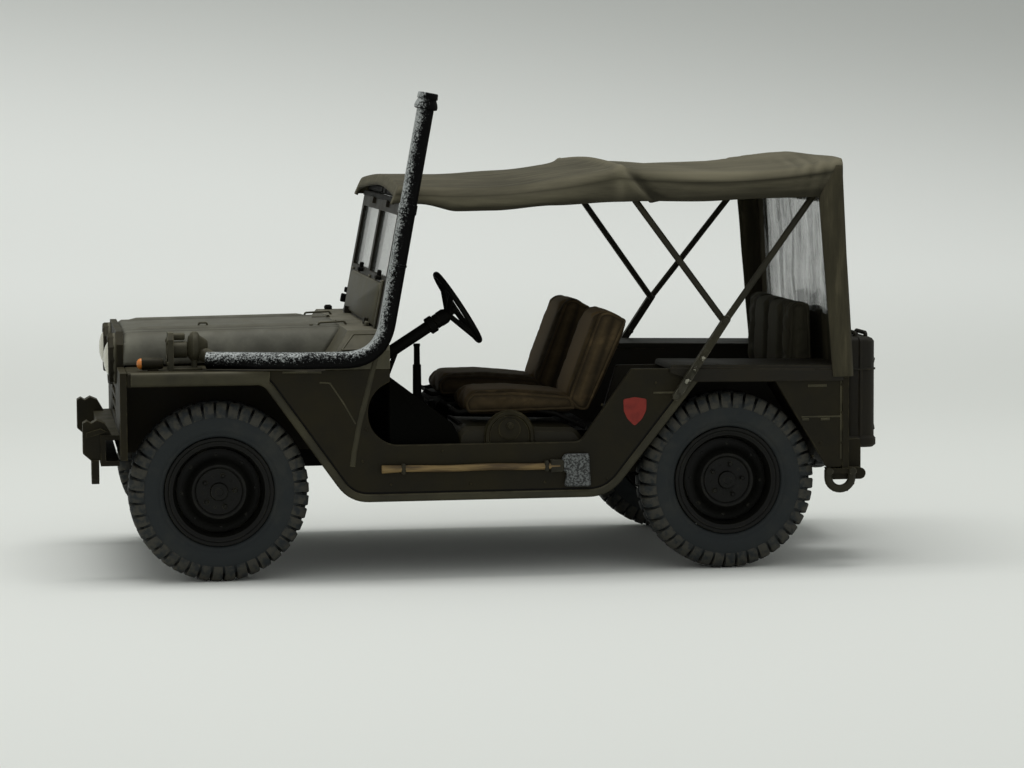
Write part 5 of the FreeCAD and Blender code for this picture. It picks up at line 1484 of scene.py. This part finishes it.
# %% Toe board, tank and tool box
TANK_PAINT = olive("tank_paint", (36, 32, 17), (44, 40, 25), (76, 70, 46), dust_and_light_amount=0.3)
TOE = [(20.4, 24.2), (27.9, 18.5), (28.7, 17.0), (29.0, 11.9), (26.0, 11.9), (20.4, 16.0)]
TANK = [(28.7, 12.0), (28.5, 16.9, 1.0), (29.4, 18.0, 1.0), (42.9, 17.6, 1.2), (44.0, 16.2, 1.0),
        (44.2, 12.0)]
TANK_SEAM = [(28.4, 14.6), (28.4, 14.9), (44.3, 14.9), (44.3, 14.6)]
FILLER = 34.85
CHEST = [(29.6, 12.0), (29.4, 18.2), (30.2, 18.9), (43.2, 18.7), (44.0, 17.8), (44.0, 12.0)]


def arch(reach):
    """Half circle of the filler cover's top."""
    turns = [radians(a) for a in range(0, 181, 12)]
    return [(FILLER - reach * cos(a), 16.85 + reach * sin(a)) for a in turns]


# Toe board and tool box are near black: painted shade.
fitting("toe_board", [side_plate(TOE, -21.7, 21.7, round_off=0.3)], DEEP_PAINT, "dark_olive_paint")
parts = [side_plate(TANK, 8.2, 21.5, round_off=0.6, cut=0.5, steps=6),
         side_plate(TANK_SEAM, 8.0, 21.7, round_off=0.1, cut=0.05)]
fitting("fuel_tank", parts, TANK_PAINT, "olive_paint")
fitting("tool_box", [side_plate(CHEST, -21.5, -5.4, round_off=0.3)], DEEP_PAINT, "dark_olive_paint")
parts = [side_plate([(31.8, 15.9)] + arch(3.05) + [(37.9, 15.9)], 21.2, 21.8, round_off=0.05, cut=0.03),
         bead([(32.15, 16.0)] + arch(2.7) + [(37.55, 16.0)], 21.8, 0.32, 0.35),
         spun((at(FILLER), 21.7, 17.6), (0, 1, 0), [(0, 1.3), (0.3, 1.3), (0.4, 1.1)], 24),
         spun((at(FILLER), 21.7, 18.0), (0, 1, 0), [(0, 0.45), (0.8, 0.42), (0.95, 0.25)], 16)]
fitting("filler_cover", parts, BODY_PAINT, "olive_paint", ["filler_plate"])
print("inside made")

# %% [markdown]
# ## Fuel can
#
# The can is two pressed halves with round corners, welded on a seam and strapped into a
# tray. A cross is pressed into its flat faces, and three handles stand on its top.


# %% Fuel can and its tray
def upright(y0, y1, z0, z1, s0, s1, corner):
    """Block with its four upright edges rounded and its top and bottom drawn in."""
    x0, x1 = at(s1), at(s0)
    turns = [pi / 2 * k / 6 for k in range(7)]
    ring = []
    for quarter, (cx, cy) in enumerate(((x1 - corner, y1 - corner), (x0 + corner, y1 - corner),
                                        (x0 + corner, y0 + corner), (x1 - corner, y0 + corner))):
        start = quarter * pi / 2
        ring += [(cx + corner * cos(a + start), cy + corner * sin(a + start)) for a in turns]
    middle_x, middle_y = (x0 + x1) / 2, (y0 + y1) / 2
    points = []
    for z, pull in ((z0, 0.3), (z0 + 0.3, 0.0), (z1 - 0.5, 0.0), (z1 - 0.15, 0.25), (z1, 0.6)):
        points += [(x + pull * (middle_x - x) / 2.3, y + pull * (middle_y - y) / 5.0, z) for x, y in ring]
    return points, capped(5, len(ring))


parts = [upright(6.7, 16.5, 14.6, 27.5, 77.3, 81.5, 1.2), upright(6.55, 16.65, 14.6, 27.55, 79.3, 79.7, 0.15)]
for s in (78.2, 79.5, 80.8):
    loop = [(at(s), y, z) for y, z in ((9.2, 27.2), (9.3, 27.9), (13.9, 27.9), (14.0, 27.2))]
    parts.append(swept(bent(loop, 0.5), 0.26, 10))
parts.append(spun((at(79.5), 8.0, 27.0), (0, -0.2, 1), [(0, 0.7), (0.6, 0.72), (0.7, 0.85), (0.95, 0.8)], 20))
for sign in (1, -1):
    for s, outward in ((81.5, -1), (77.3, 1)):
        ends = [(at(s) + 0.05 * outward, 11.6 + 3.3 * k, 20.4 + 4.4 * k * sign) for k in (-1, 1)]
        parts.append(swept(ends, 0.22, 10))
fitting("fuel_can_pressed", parts, SHADE_PAINT, "olive_paint", ["fuel_can"])
parts = [upright(6.3, 16.8, 13.9, 15.5, 76.9, 81.65, 1.2), upright(6.5, 16.7, 23.4, 24.0, 77.1, 81.62, 1.2),
         chamfered((at(77.2), 8.1, 14.6), (at(76.5), 15.1, 20.0))]
fitting("can_tray", parts, SHADE_PAINT, "olive_paint", ["can_bracket"])
print("can made")

# %% [markdown]
# ## Steering wheel and levers
#
# The wheel is a round hoop on three bent spokes. It stands on a column that runs down
# through the gauge panel, held by a clamp. The gear lever is a turned rod with a step.

# %% Steering wheel and levers
HUB = Vector((at(28.4), 10.0, 30.4))
AXIS = Vector((-cos(radians(32.5)), 0, sin(radians(32.5))))
WHEEL_MIDDLE = HUB + AXIS * 2.2
WHEEL_UP = AXIS.cross(Vector((0, 1, 0)))


def on_column(along, profile, steps=24):
    """Turned part that starts at a distance from the hub along the column."""
    return spun(HUB + AXIS * along, AXIS, profile, steps)


parts = [tube_ring(WHEEL_MIDDLE, AXIS, 4.84, 0.36, 64, 12)]
for k in range(3):
    turn = pi / 2 + k * 2 * pi / 3
    outward = Vector((0, 1, 0)) * cos(turn) + WHEEL_UP * sin(turn)
    parts.append(swept([HUB + AXIS * 0.7, WHEEL_MIDDLE + outward * 4.7], 0.33, 10))
brace = [HUB - AXIS * 6.6, (at(21.4), 10.0, 23.2), (at(20.2), 10.0, 22.4)]
parts += [on_column(-0.6, [(0, 0.7), (0.1, 0.95), (0.9, 0.95), (1.3, 0.75), (1.5, 0.3)]),
          swept([HUB - AXIS * 0.3, HUB - AXIS * 13.3], 0.74, 20),
          on_column(-2.2, [(0, 0.6), (0, 0.95), (0.1, 1.08), (0.9, 1.08), (1.0, 0.95), (1.0, 0.6)]),
          on_column(-1.2, [(0, 0.75), (0.1, 0.9), (1.5, 0.9), (1.6, 0.7)]),
          on_column(0.4, [(0, 0.5), (1.0, 0.45), (1.1, 0.62), (1.5, 0.6), (1.6, 0.4)], 20),
          swept(bent(brace, 0.6), 0.3, 10)]
fitting("steering_wheel", parts, DARK_AND_SHADE_PAINT, "dark_olive_paint", ["steering"])

GEAR = [(0, 1.3), (2.6, 1.15), (4.0, 0.85), (4.6, 0.56), (8.2, 0.53), (8.35, 0.4), (10.5, 0.38), (10.6, 0.44),
        (10.9, 0.42)]
TRANSFER = [(0, 0.55), (0.3, 0.3), (2.6, 0.28), (2.8, 0.42), (3.4, 0.42), (3.5, 0.3)]
parts = [spun((at(26.3), 0.6, 15.6), (0, 0, 1), GEAR, 16),
         spun((at(28.6), -2.0, 15.6), (0.06, 0, 1), TRANSFER, 14)]
fitting("lever_rods", parts, DARK_AND_SHADE_PAINT, "dark_olive_paint", ["levers"])
print("steering and levers made")

# %% [markdown]
# ## Lamps
#
# A head lamp is a clear dome in a turned ring, over a bowl that gathers the light. The
# dome is painted pale and mostly opaque, as a painted reflection. The marker lamps are
# short turned bodies with an amber dome. Their lenses keep a gloss that the flat paint
# round them doesn't have.

# %% Lamps
FORWARD = (1, 0, 0)
DOME = [(0.35, 2.5), (0.9, 2.45), (1.4, 2.1), (1.75, 1.5), (1.95, 0.8), (2.0, 0.0)]
BOWL = [(-0.7, 0.4), (-0.5, 1.0), (0.0, 1.9), (0.3, 2.4)]
LAMPS = [(at(-11.1), y, 26.0) for y in (9.6, -9.6)]
BOWL_STEEL = Finish("lamp_bowl", (150, 150, 146), 0.35, metallic=0.6)
BOWL_STEEL.set("Roughness", BOWL_STEEL.ramp(BOWL_STEEL.noise(0.8), 0.2, 0.8))
rings = [tube_ring((x + 0.65, y, z), FORWARD, 2.82, 0.3, 56, 12) for x, y, z in LAMPS]
fitting("lamp_rings", rings, LIT_PAINT, "olive_paint")
fitting("lamp_domes", [spun(lamp, FORWARD, DOME, 40) for lamp in LAMPS], LAMP_SHEET, "clear_plastic",
        ["headlamp_lenses"], sharp=60)
fitting("lamp_bowls", [spun(lamp, FORWARD, BOWL, 32) for lamp in LAMPS], BOWL_STEEL.material, "steel_paint",
        sharp=60)

MARKER = [(0, 0.35), (0.1, 0.6), (0.5, 0.68), (2.45, 0.76), (2.6, 0.7)]
MARKER_DOME = [(0, 0.66), (0.2, 0.66), (0.42, 0.55), (0.58, 0.33), (0.64, 0.0)]
bodies, domes = [], []
for y in (19.4, -19.4):
    bodies.append(spun((at(-6.3), y, 26.05), FORWARD, MARKER, 24))
    bodies.append(chamfered((at(-6.9), y - 0.35, 25.1), (at(-8.2), y + 0.35, 25.7), 0.08))
    domes.append(spun((at(-8.85), y, 26.05), FORWARD, MARKER_DOME, 24))
fitting("marker_bodies", bodies, BODY_PAINT, "olive_paint", ["signal_lamps"])
fitting("marker_domes", domes, AMBER, "amber", ["signal_lenses"], sharp=60)
print("lamps made")

# %% [markdown]
# ## Valve housing
#
# Behind the near marker lamp stands the housing that feeds the pipe: a flanged plate, a
# valve with its knob, a domed cover and a cone that bends into the pipe.

# %% Valve housing
HOUSING_Y, HOUSING_Z = 18.48, 27.9
COVER_DOME = [(0, 0.7), (0.3, 1.0), (0.9, 1.35), (1.15, 1.75), (1.3, 1.85), (1.75, 1.85), (1.95, 1.7),
              (2.3, 1.25), (2.35, 0.9)]
FLANGE = [(-1.9, 25.2), (-1.9, 28.9), (-1.3, 29.7), (1.3, 29.7), (1.9, 28.9), (1.9, 25.2)]


def faced(station, dy, z, profile, steps):
    """Turned part of the housing that faces forward."""
    return spun((at(station), HOUSING_Y + dy, z), FORWARD, profile, steps)


outlet = [(at(s), HOUSING_Y + dy, z) for s, dy, z in ((-2.2, 0.2, 27.3), (-1.2, 0.9, 26.9), (-0.4, 2.2, 26.5))]
stay = [(-2.9, 25.2), (-2.9, 27.6), (-2.3, 28.0), (-2.3, 25.2)]
parts = [side_plate(stay, HOUSING_Y - 1.0, HOUSING_Y + 1.0),
         faced(-1.0, 0, HOUSING_Z, COVER_DOME, 40),
         hulled([(at(s), HOUSING_Y + dy, z) for s in (-5.1, -5.75) for dy, z in FLANGE]),
         tube_ring((at(-5.75), HOUSING_Y, HOUSING_Z - 0.2), FORWARD, 1.35, 0.14, 32, 8),
         faced(-3.3, 0, HOUSING_Z - 0.3, [(0, 0.8), (0.2, 1.0), (1.8, 1.0), (2.0, 0.8)], 24),
         faced(-3.7, 0, HOUSING_Z + 1.25, [(0, 0.3), (0.1, 0.42), (1.4, 0.42), (1.5, 0.3)], 16),
         chamfered((at(-1.7), HOUSING_Y - 1.2, 25.15), (at(-5.2), HOUSING_Y + 1.2, 25.5))]
for dy in (-1.45, 1.45):
    for z in (26.0, 28.6):
        parts.append(faced(-5.7, dy, z, [(0, 0.24), (0.2, 0.24), (0.26, 0.12)], 6))
parts.append(swept(bent(outlet, 1.0), 0.85, 20))
fitting("valve_housing", parts, TRIM_HIGHLIGHT_PAINT, "olive_paint", ["fording_housing"])
print("valve housing made")

# %% [markdown]
# ## Axe
#
# The axe lies on the sill in two clips.

# %% Axe
HEAD = [(41.1, 12.7), (41.0, 14.1), (41.4, 14.6), (44.3, 14.6), (44.5, 10.6), (41.3, 10.7), (41.6, 12.3)]
HEAD_CLIP = [(39.6, 12.4), (39.6, 14.0), (41.2, 13.9), (41.2, 12.5)]
handle = [(at(19.25 + 0.5 * k), 23.02, 13.2 + 0.05 * sin(0.3 * k)) for k in range(44)]
thick = [0.5 - 0.1 * min(1.0, k / 5) for k in range(44)]
fitting("axe_handle_round", [swept(handle, thick, 14)], WOOD, "wood", ["axe_handle"])
head = side_plate(HEAD, SKIN, 23.35, round_off=0.25, cut=0.18)
fitting("axe_head_forged", [head], STEEL, "steel_paint", ["axe_head"])
clips = [chamfered((at(s + 0.5), 22.5, 12.55), (at(s), 23.5, 13.85)) for s in (21.6, 38.9)]
clips.append(side_plate(HEAD_CLIP, SKIN, 23.4))
fitting("axe_clips", clips, HOOP_PAINT, "dark_olive_paint")
print("axe made")

# %% [markdown]
# ## Body details
#
# Folded steel panels meet in low welded beads, and thin hinge leaves and studs stand on
# the rear quarter. A plain red shield is fixed on the same quarter.

# %% Beads, studs and the shield
# Path of (station, z), half width and how proud it stands.
BEADS = [([(18.7, 26.4), (18.2, 24.6), (17.5, 21.8), (16.7, 18.8), (16.0, 15.2), (15.8, 13.6)], 0.3, 0.14),
         ([(12.0, 23.7), (13.2, 23.6), (14.8, 21.2), (16.2, 18.7)], 0.1, 0.06),
         ([(7.6, 25.0), (12.2, 24.9)], 0.12, 0.1), ([(75.5, 22.8), (75.5, 13.2)], 0.12, 0.1),
         ([(70.6, 18.4), (75.4, 18.4)], 0.1, 0.07), ([(52.3, 21.7), (54.8, 21.7)], 0.12, 0.1),
         ([(71.4, 22.2), (73.7, 22.2)], 0.16, 0.12), ([(70.7, 18.1), (71.5, 18.1)], 0.16, 0.12),
         ([(73.0, 18.1), (74.1, 18.1)], 0.16, 0.12)]
# Station, z and size.
STUDS = [(17.0, 14.2, 0.2), (17.5, 18.0, 0.22), (20.4, 11.3, 0.18), (26.6, 15.2, 0.16), (30.0, 11.2, 0.18),
         (39.0, 11.2, 0.18), (46.6, 11.4, 0.18), (73.0, 15.2, 0.22), (75.6, 15.2, 0.2), (75.6, 22.3, 0.2),
         (75.6, 18.9, 0.2), (72.0, 13.6, 0.18), (13.0, 25.8, 0.2), (46.0, 20.4, 0.16), (52.6, 22.9, 0.18)]
beads = [bead(path, y, half, proud) for y in (SKIN, -SKIN) for path, half, proud in BEADS]
fitting("side_beads", beads, TRIM_HIGHLIGHT_PAINT, "olive_paint")
studs = [bolt(s, 22.55, z, size, sign, 0.2) for sign in (1, -1) for s, z, size in STUDS]
fitting("side_studs", studs, BODY_PAINT, "olive_paint")

SHIELD = [(48.6, 21.0), (50.0, 21.25), (51.45, 21.0), (51.4, 19.6), (50.9, 18.6), (50.0, 17.75), (49.1, 18.6),
          (48.65, 19.6)]
RED = Finish("shield_red", (124, 36, 24), 0.6, specular=0.3)
RED.set("Base Color", RED.mix(RED.ramp(RED.noise(0.8, 3.0), 0.2, 0.6), (100, 24, 16), (120, 34, 24)))
shield = side_plate(SHIELD, 22.55, 22.66, round_off=0.25, cut=0.03)
fitting("red_shield", [shield], RED.material, "olive_paint")
print(len(beads), "beads and", len(studs), "studs")

# %% [markdown]
# ## Windshield and cowl details
#
# The lower half of the windshield carries a raised pressing, two folding hooks and a pair
# of catches. Under the canvas front sits the header bar with its two dark recesses. A
# framed cover lies on the slope of the cowl's shoulder, half hidden by the pipe.

# %% Windshield and cowl details
RAKE = radians(11)


def on_screen(u, y, d):
    """Place at u up the raked windshield and d in front of its face."""
    return (at(19.2 + u * sin(RAKE) - d * cos(RAKE)), y, 29.7 + u * cos(RAKE) + d * sin(RAKE))


def screen_block(u0, u1, y0, y1, d0, d1, cut=0.1):
    """Chamfered block that lies on the raked windshield."""
    points, faces = chamfered((u0, y0, d0), (u1, y1, d1), cut)
    return [on_screen(*p) for p in points], faces


pressing = []
for inset, d in ((0.0, 0.0), (0.0, 0.25), (0.25, 0.42)):
    for u, y in ((0.3, 16.6), (4.6, 16.6), (5.2, 16.1), (5.4, 15.4)):
        up = inset if u < 1 else -inset
        pressing += [on_screen(u + up, y - inset, d), on_screen(u + up, inset - y, d)]
parts = [hulled(pressing), screen_block(0.0, 5.9, 17.6, 18.3, 0.0, 0.3)]
parts += [screen_block(5.5, 5.75, y - 0.7, y + 0.7, 0.0, 0.25, 0.06) for y in (-16.8, -10.0, 3.0, 9.6, 16.6)]
parts += [screen_block(0.0, 0.45, y - 0.7, y + 0.7, 0.3, 0.8) for y in (-13.0, 13.0)]
fitting("screen_pressing", parts, LIT_PAINT, "olive_paint")

header = [screen_block(15.9, 17.0, -19.6, 19.6, -0.9, -0.3), screen_block(15.2, 15.9, -20.1, 20.1, -0.3, 0.2)]
hooks = [screen_block(u0, u1, y - half, y + half, 0.0, d) for y in (-6.5, 13.6)
         for u0, u1, half, d in ((5.7, 6.2, 0.6, 0.7), (6.1, 6.9, 0.25, 0.5))]
catch = [screen_block(0.9, 2.0, -20.2, -19.4, 0.0, 0.7), screen_block(2.2, 2.9, -20.1, -19.5, 0.0, 0.4),
         chamfered((at(17.6), -20.2, 29.6), (at(16.6), -19.2, 30.3), 0.2)]
recesses = [screen_block(16.1, 16.8, y0, y1, -0.35, -0.12, 0.08)
            for y0, y1 in ((-18.6, -2.4), (-1.2, 1.2), (2.4, 18.6))]
# The header bar and its recesses are near black as painted shade under the canvas; the hooks and catches share
# that paint.
fitting("screen_fittings", header + hooks + catch + recesses, DARK_AND_SHADE_PAINT, "dark_olive_paint")


def on_shoulder(s, t, up=0.0):
    """Place on the slope of the cowl's left shoulder, t from 0 at its top to 1."""
    return (at(s), 20.5 + 2.1 * t + 0.74 * up, 29.7 - 2.3 * t + 0.68 * up)


COVER = [(14.7, 0.97), (16.2, 0.22), (19.9, 0.22), (19.9, 0.97)]
parts = [hulled([on_shoulder(s, t, up) for s, t in COVER for up in (0.0, 0.12)])]
frame_line = [on_shoulder(s, t, 0.1) for s, t in COVER] + [on_shoulder(14.7, 0.97, 0.1)]
parts.append(swept(bent(frame_line, 0.3), 0.13, 8))
fitting("cowl_cover", parts, LIT_PAINT, "olive_paint")
print("windshield and cowl details made")

# %% [markdown]
# ## Hood fittings and lashing rings
#
# Hinge leaves and catches sit by the cowl, a small lifting handle on the near rib, and
# round rings hang at the rear corners for lashing the car down.

# %% Hood and rear details
parts = []
for y in (5.0, -5.0):
    parts.append(chamfered((at(15.9), y - 0.6, 29.5), (at(13.6), y + 0.6, 29.82), 0.08))
    parts.append(swept([(at(15.6), y - 0.8, 29.8), (at(15.6), y + 0.8, 29.8)], 0.2, 12))
for y in (9.6, -9.6):
    rod = [(at(13.0), y, 29.5), (at(13.2), y, 29.95), (at(16.2), y + 0.3, 30.1), (at(16.5), y + 0.3, 29.7)]
    parts.append(swept(bent(rod, 0.3), 0.13, 8))
    parts.append(spun((at(12.2), y, 29.6), (0, 0, 1), [(0, 0.24), (0.16, 0.24), (0.22, 0.1)], 8))
handle = [(at(s), 8.6, z) for s, z in ((-1.5, 29.7), (-1.4, 30.1), (-0.5, 30.1), (-0.4, 29.7))]
parts.append(swept(bent(handle, 0.2), 0.12, 8))
fitting("hood_fittings", parts, LIT_PAINT, "olive_paint")

rings = []
for y in (SKIN, -SKIN):
    turns = [pi * k / 14 for k in range(15)]
    bow = [(at(75.4 - 1.45 * cos(a)), y, 10.95 - 1.4 * sin(a)) for a in turns]
    rings.append(swept([(at(73.95), y, 11.9)] + bow + [(at(76.85), y, 11.9)], 0.5, 12))
    rings += [swept([(at(s), y - 0.2, 11.75), (at(s), y + 0.75, 11.75)], 0.45, 12) for s in (73.95, 76.85)]
fitting("lashing_rings", rings, HOOP_PAINT, "dark_olive_paint")
print("hood and rear details made")

# %% [markdown]
# ## Floor and backdrop
#
# The floor takes the shadow as real paper does. Its colour is painted a little lighter
# where the floor turns up, then darker higher up the wall and towards one side: painted
# shade, because the paper there is further from the lamp.

# %% Floor and backdrop
def paper(columns=24):
    """Sheet from in front of the camera, back under the car and up behind it."""
    turns = [pi / 2 * k / 20 for k in range(1, 21)]
    line = [(900.0 - 30.0 * k, 0.0) for k in range(37)]
    line += [(-180.0 - 320.0 * sin(a), 320.0 * (1 - cos(a))) for a in turns]
    line += [(-500.0, 320.0 + 60.0 * k) for k in range(1, 12)]
    across = [-900.0 + 1800.0 * k / columns for k in range(columns + 1)]
    return [(x, y, z) for y, z in line for x in across], grid_faces(len(line), columns + 1)


PAPER = Finish("pale_paper", (232, 234, 230), 0.9, specular=0.1)
height, sideways = PAPER.axis("Z", PAPER.place), PAPER.axis("X", PAPER.place)
rising = PAPER.ramp(height, 0.0, 0.02)
# Painted shade: the wall's colour darkens with height and towards one side.
falling = PAPER.ramp(PAPER.plus(height, PAPER.times(sideways, -0.12)), 0.03, 0.11)
wall = PAPER.mix(falling, (238, 240, 236), (182, 184, 180))
PAPER.set("Base Color", PAPER.mix(rising, (226, 228, 223), wall))
points, faces = paper()
mesh = bpy.data.meshes.new("paper")
mesh.from_pydata([Vector(p) * MM for p in points], [], faces)
mesh.materials.append(PAPER.material)
mesh.polygons.foreach_set("use_smooth", [True] * len(mesh.polygons))
floor = bpy.data.objects.new("paper", mesh)
scene.collection.objects.link(floor)
print("paper made")

# %% [markdown]
# ## Light
#
# One long overhead lamp throws the soft band of shadow under the car, and makes the tops
# much brighter than the sides. The even light of the room fills the rest.

# %% Lamps and world
lamp = bpy.data.objects.new("overhead", bpy.data.lights.new("overhead", "AREA"))
lamp.data.shape = "RECTANGLE"
lamp.data.size = 0.42
lamp.data.size_y = 0.12
lamp.data.energy = 1.0
lamp.location = (0.05, -0.01, 0.45)
scene.collection.objects.link(lamp)
world = bpy.data.worlds.new("room")
world.use_nodes = True
world.node_tree.nodes["Background"].inputs["Color"].default_value = (0.98, 1.0, 0.99, 1.0)
world.node_tree.nodes["Background"].inputs["Strength"].default_value = 0.62
scene.world = world
print("lamp of", lamp.data.energy, "W,", round(lamp.data.size, 3), "m long")

# %% [markdown]
# ## End

# %% End
print("done")
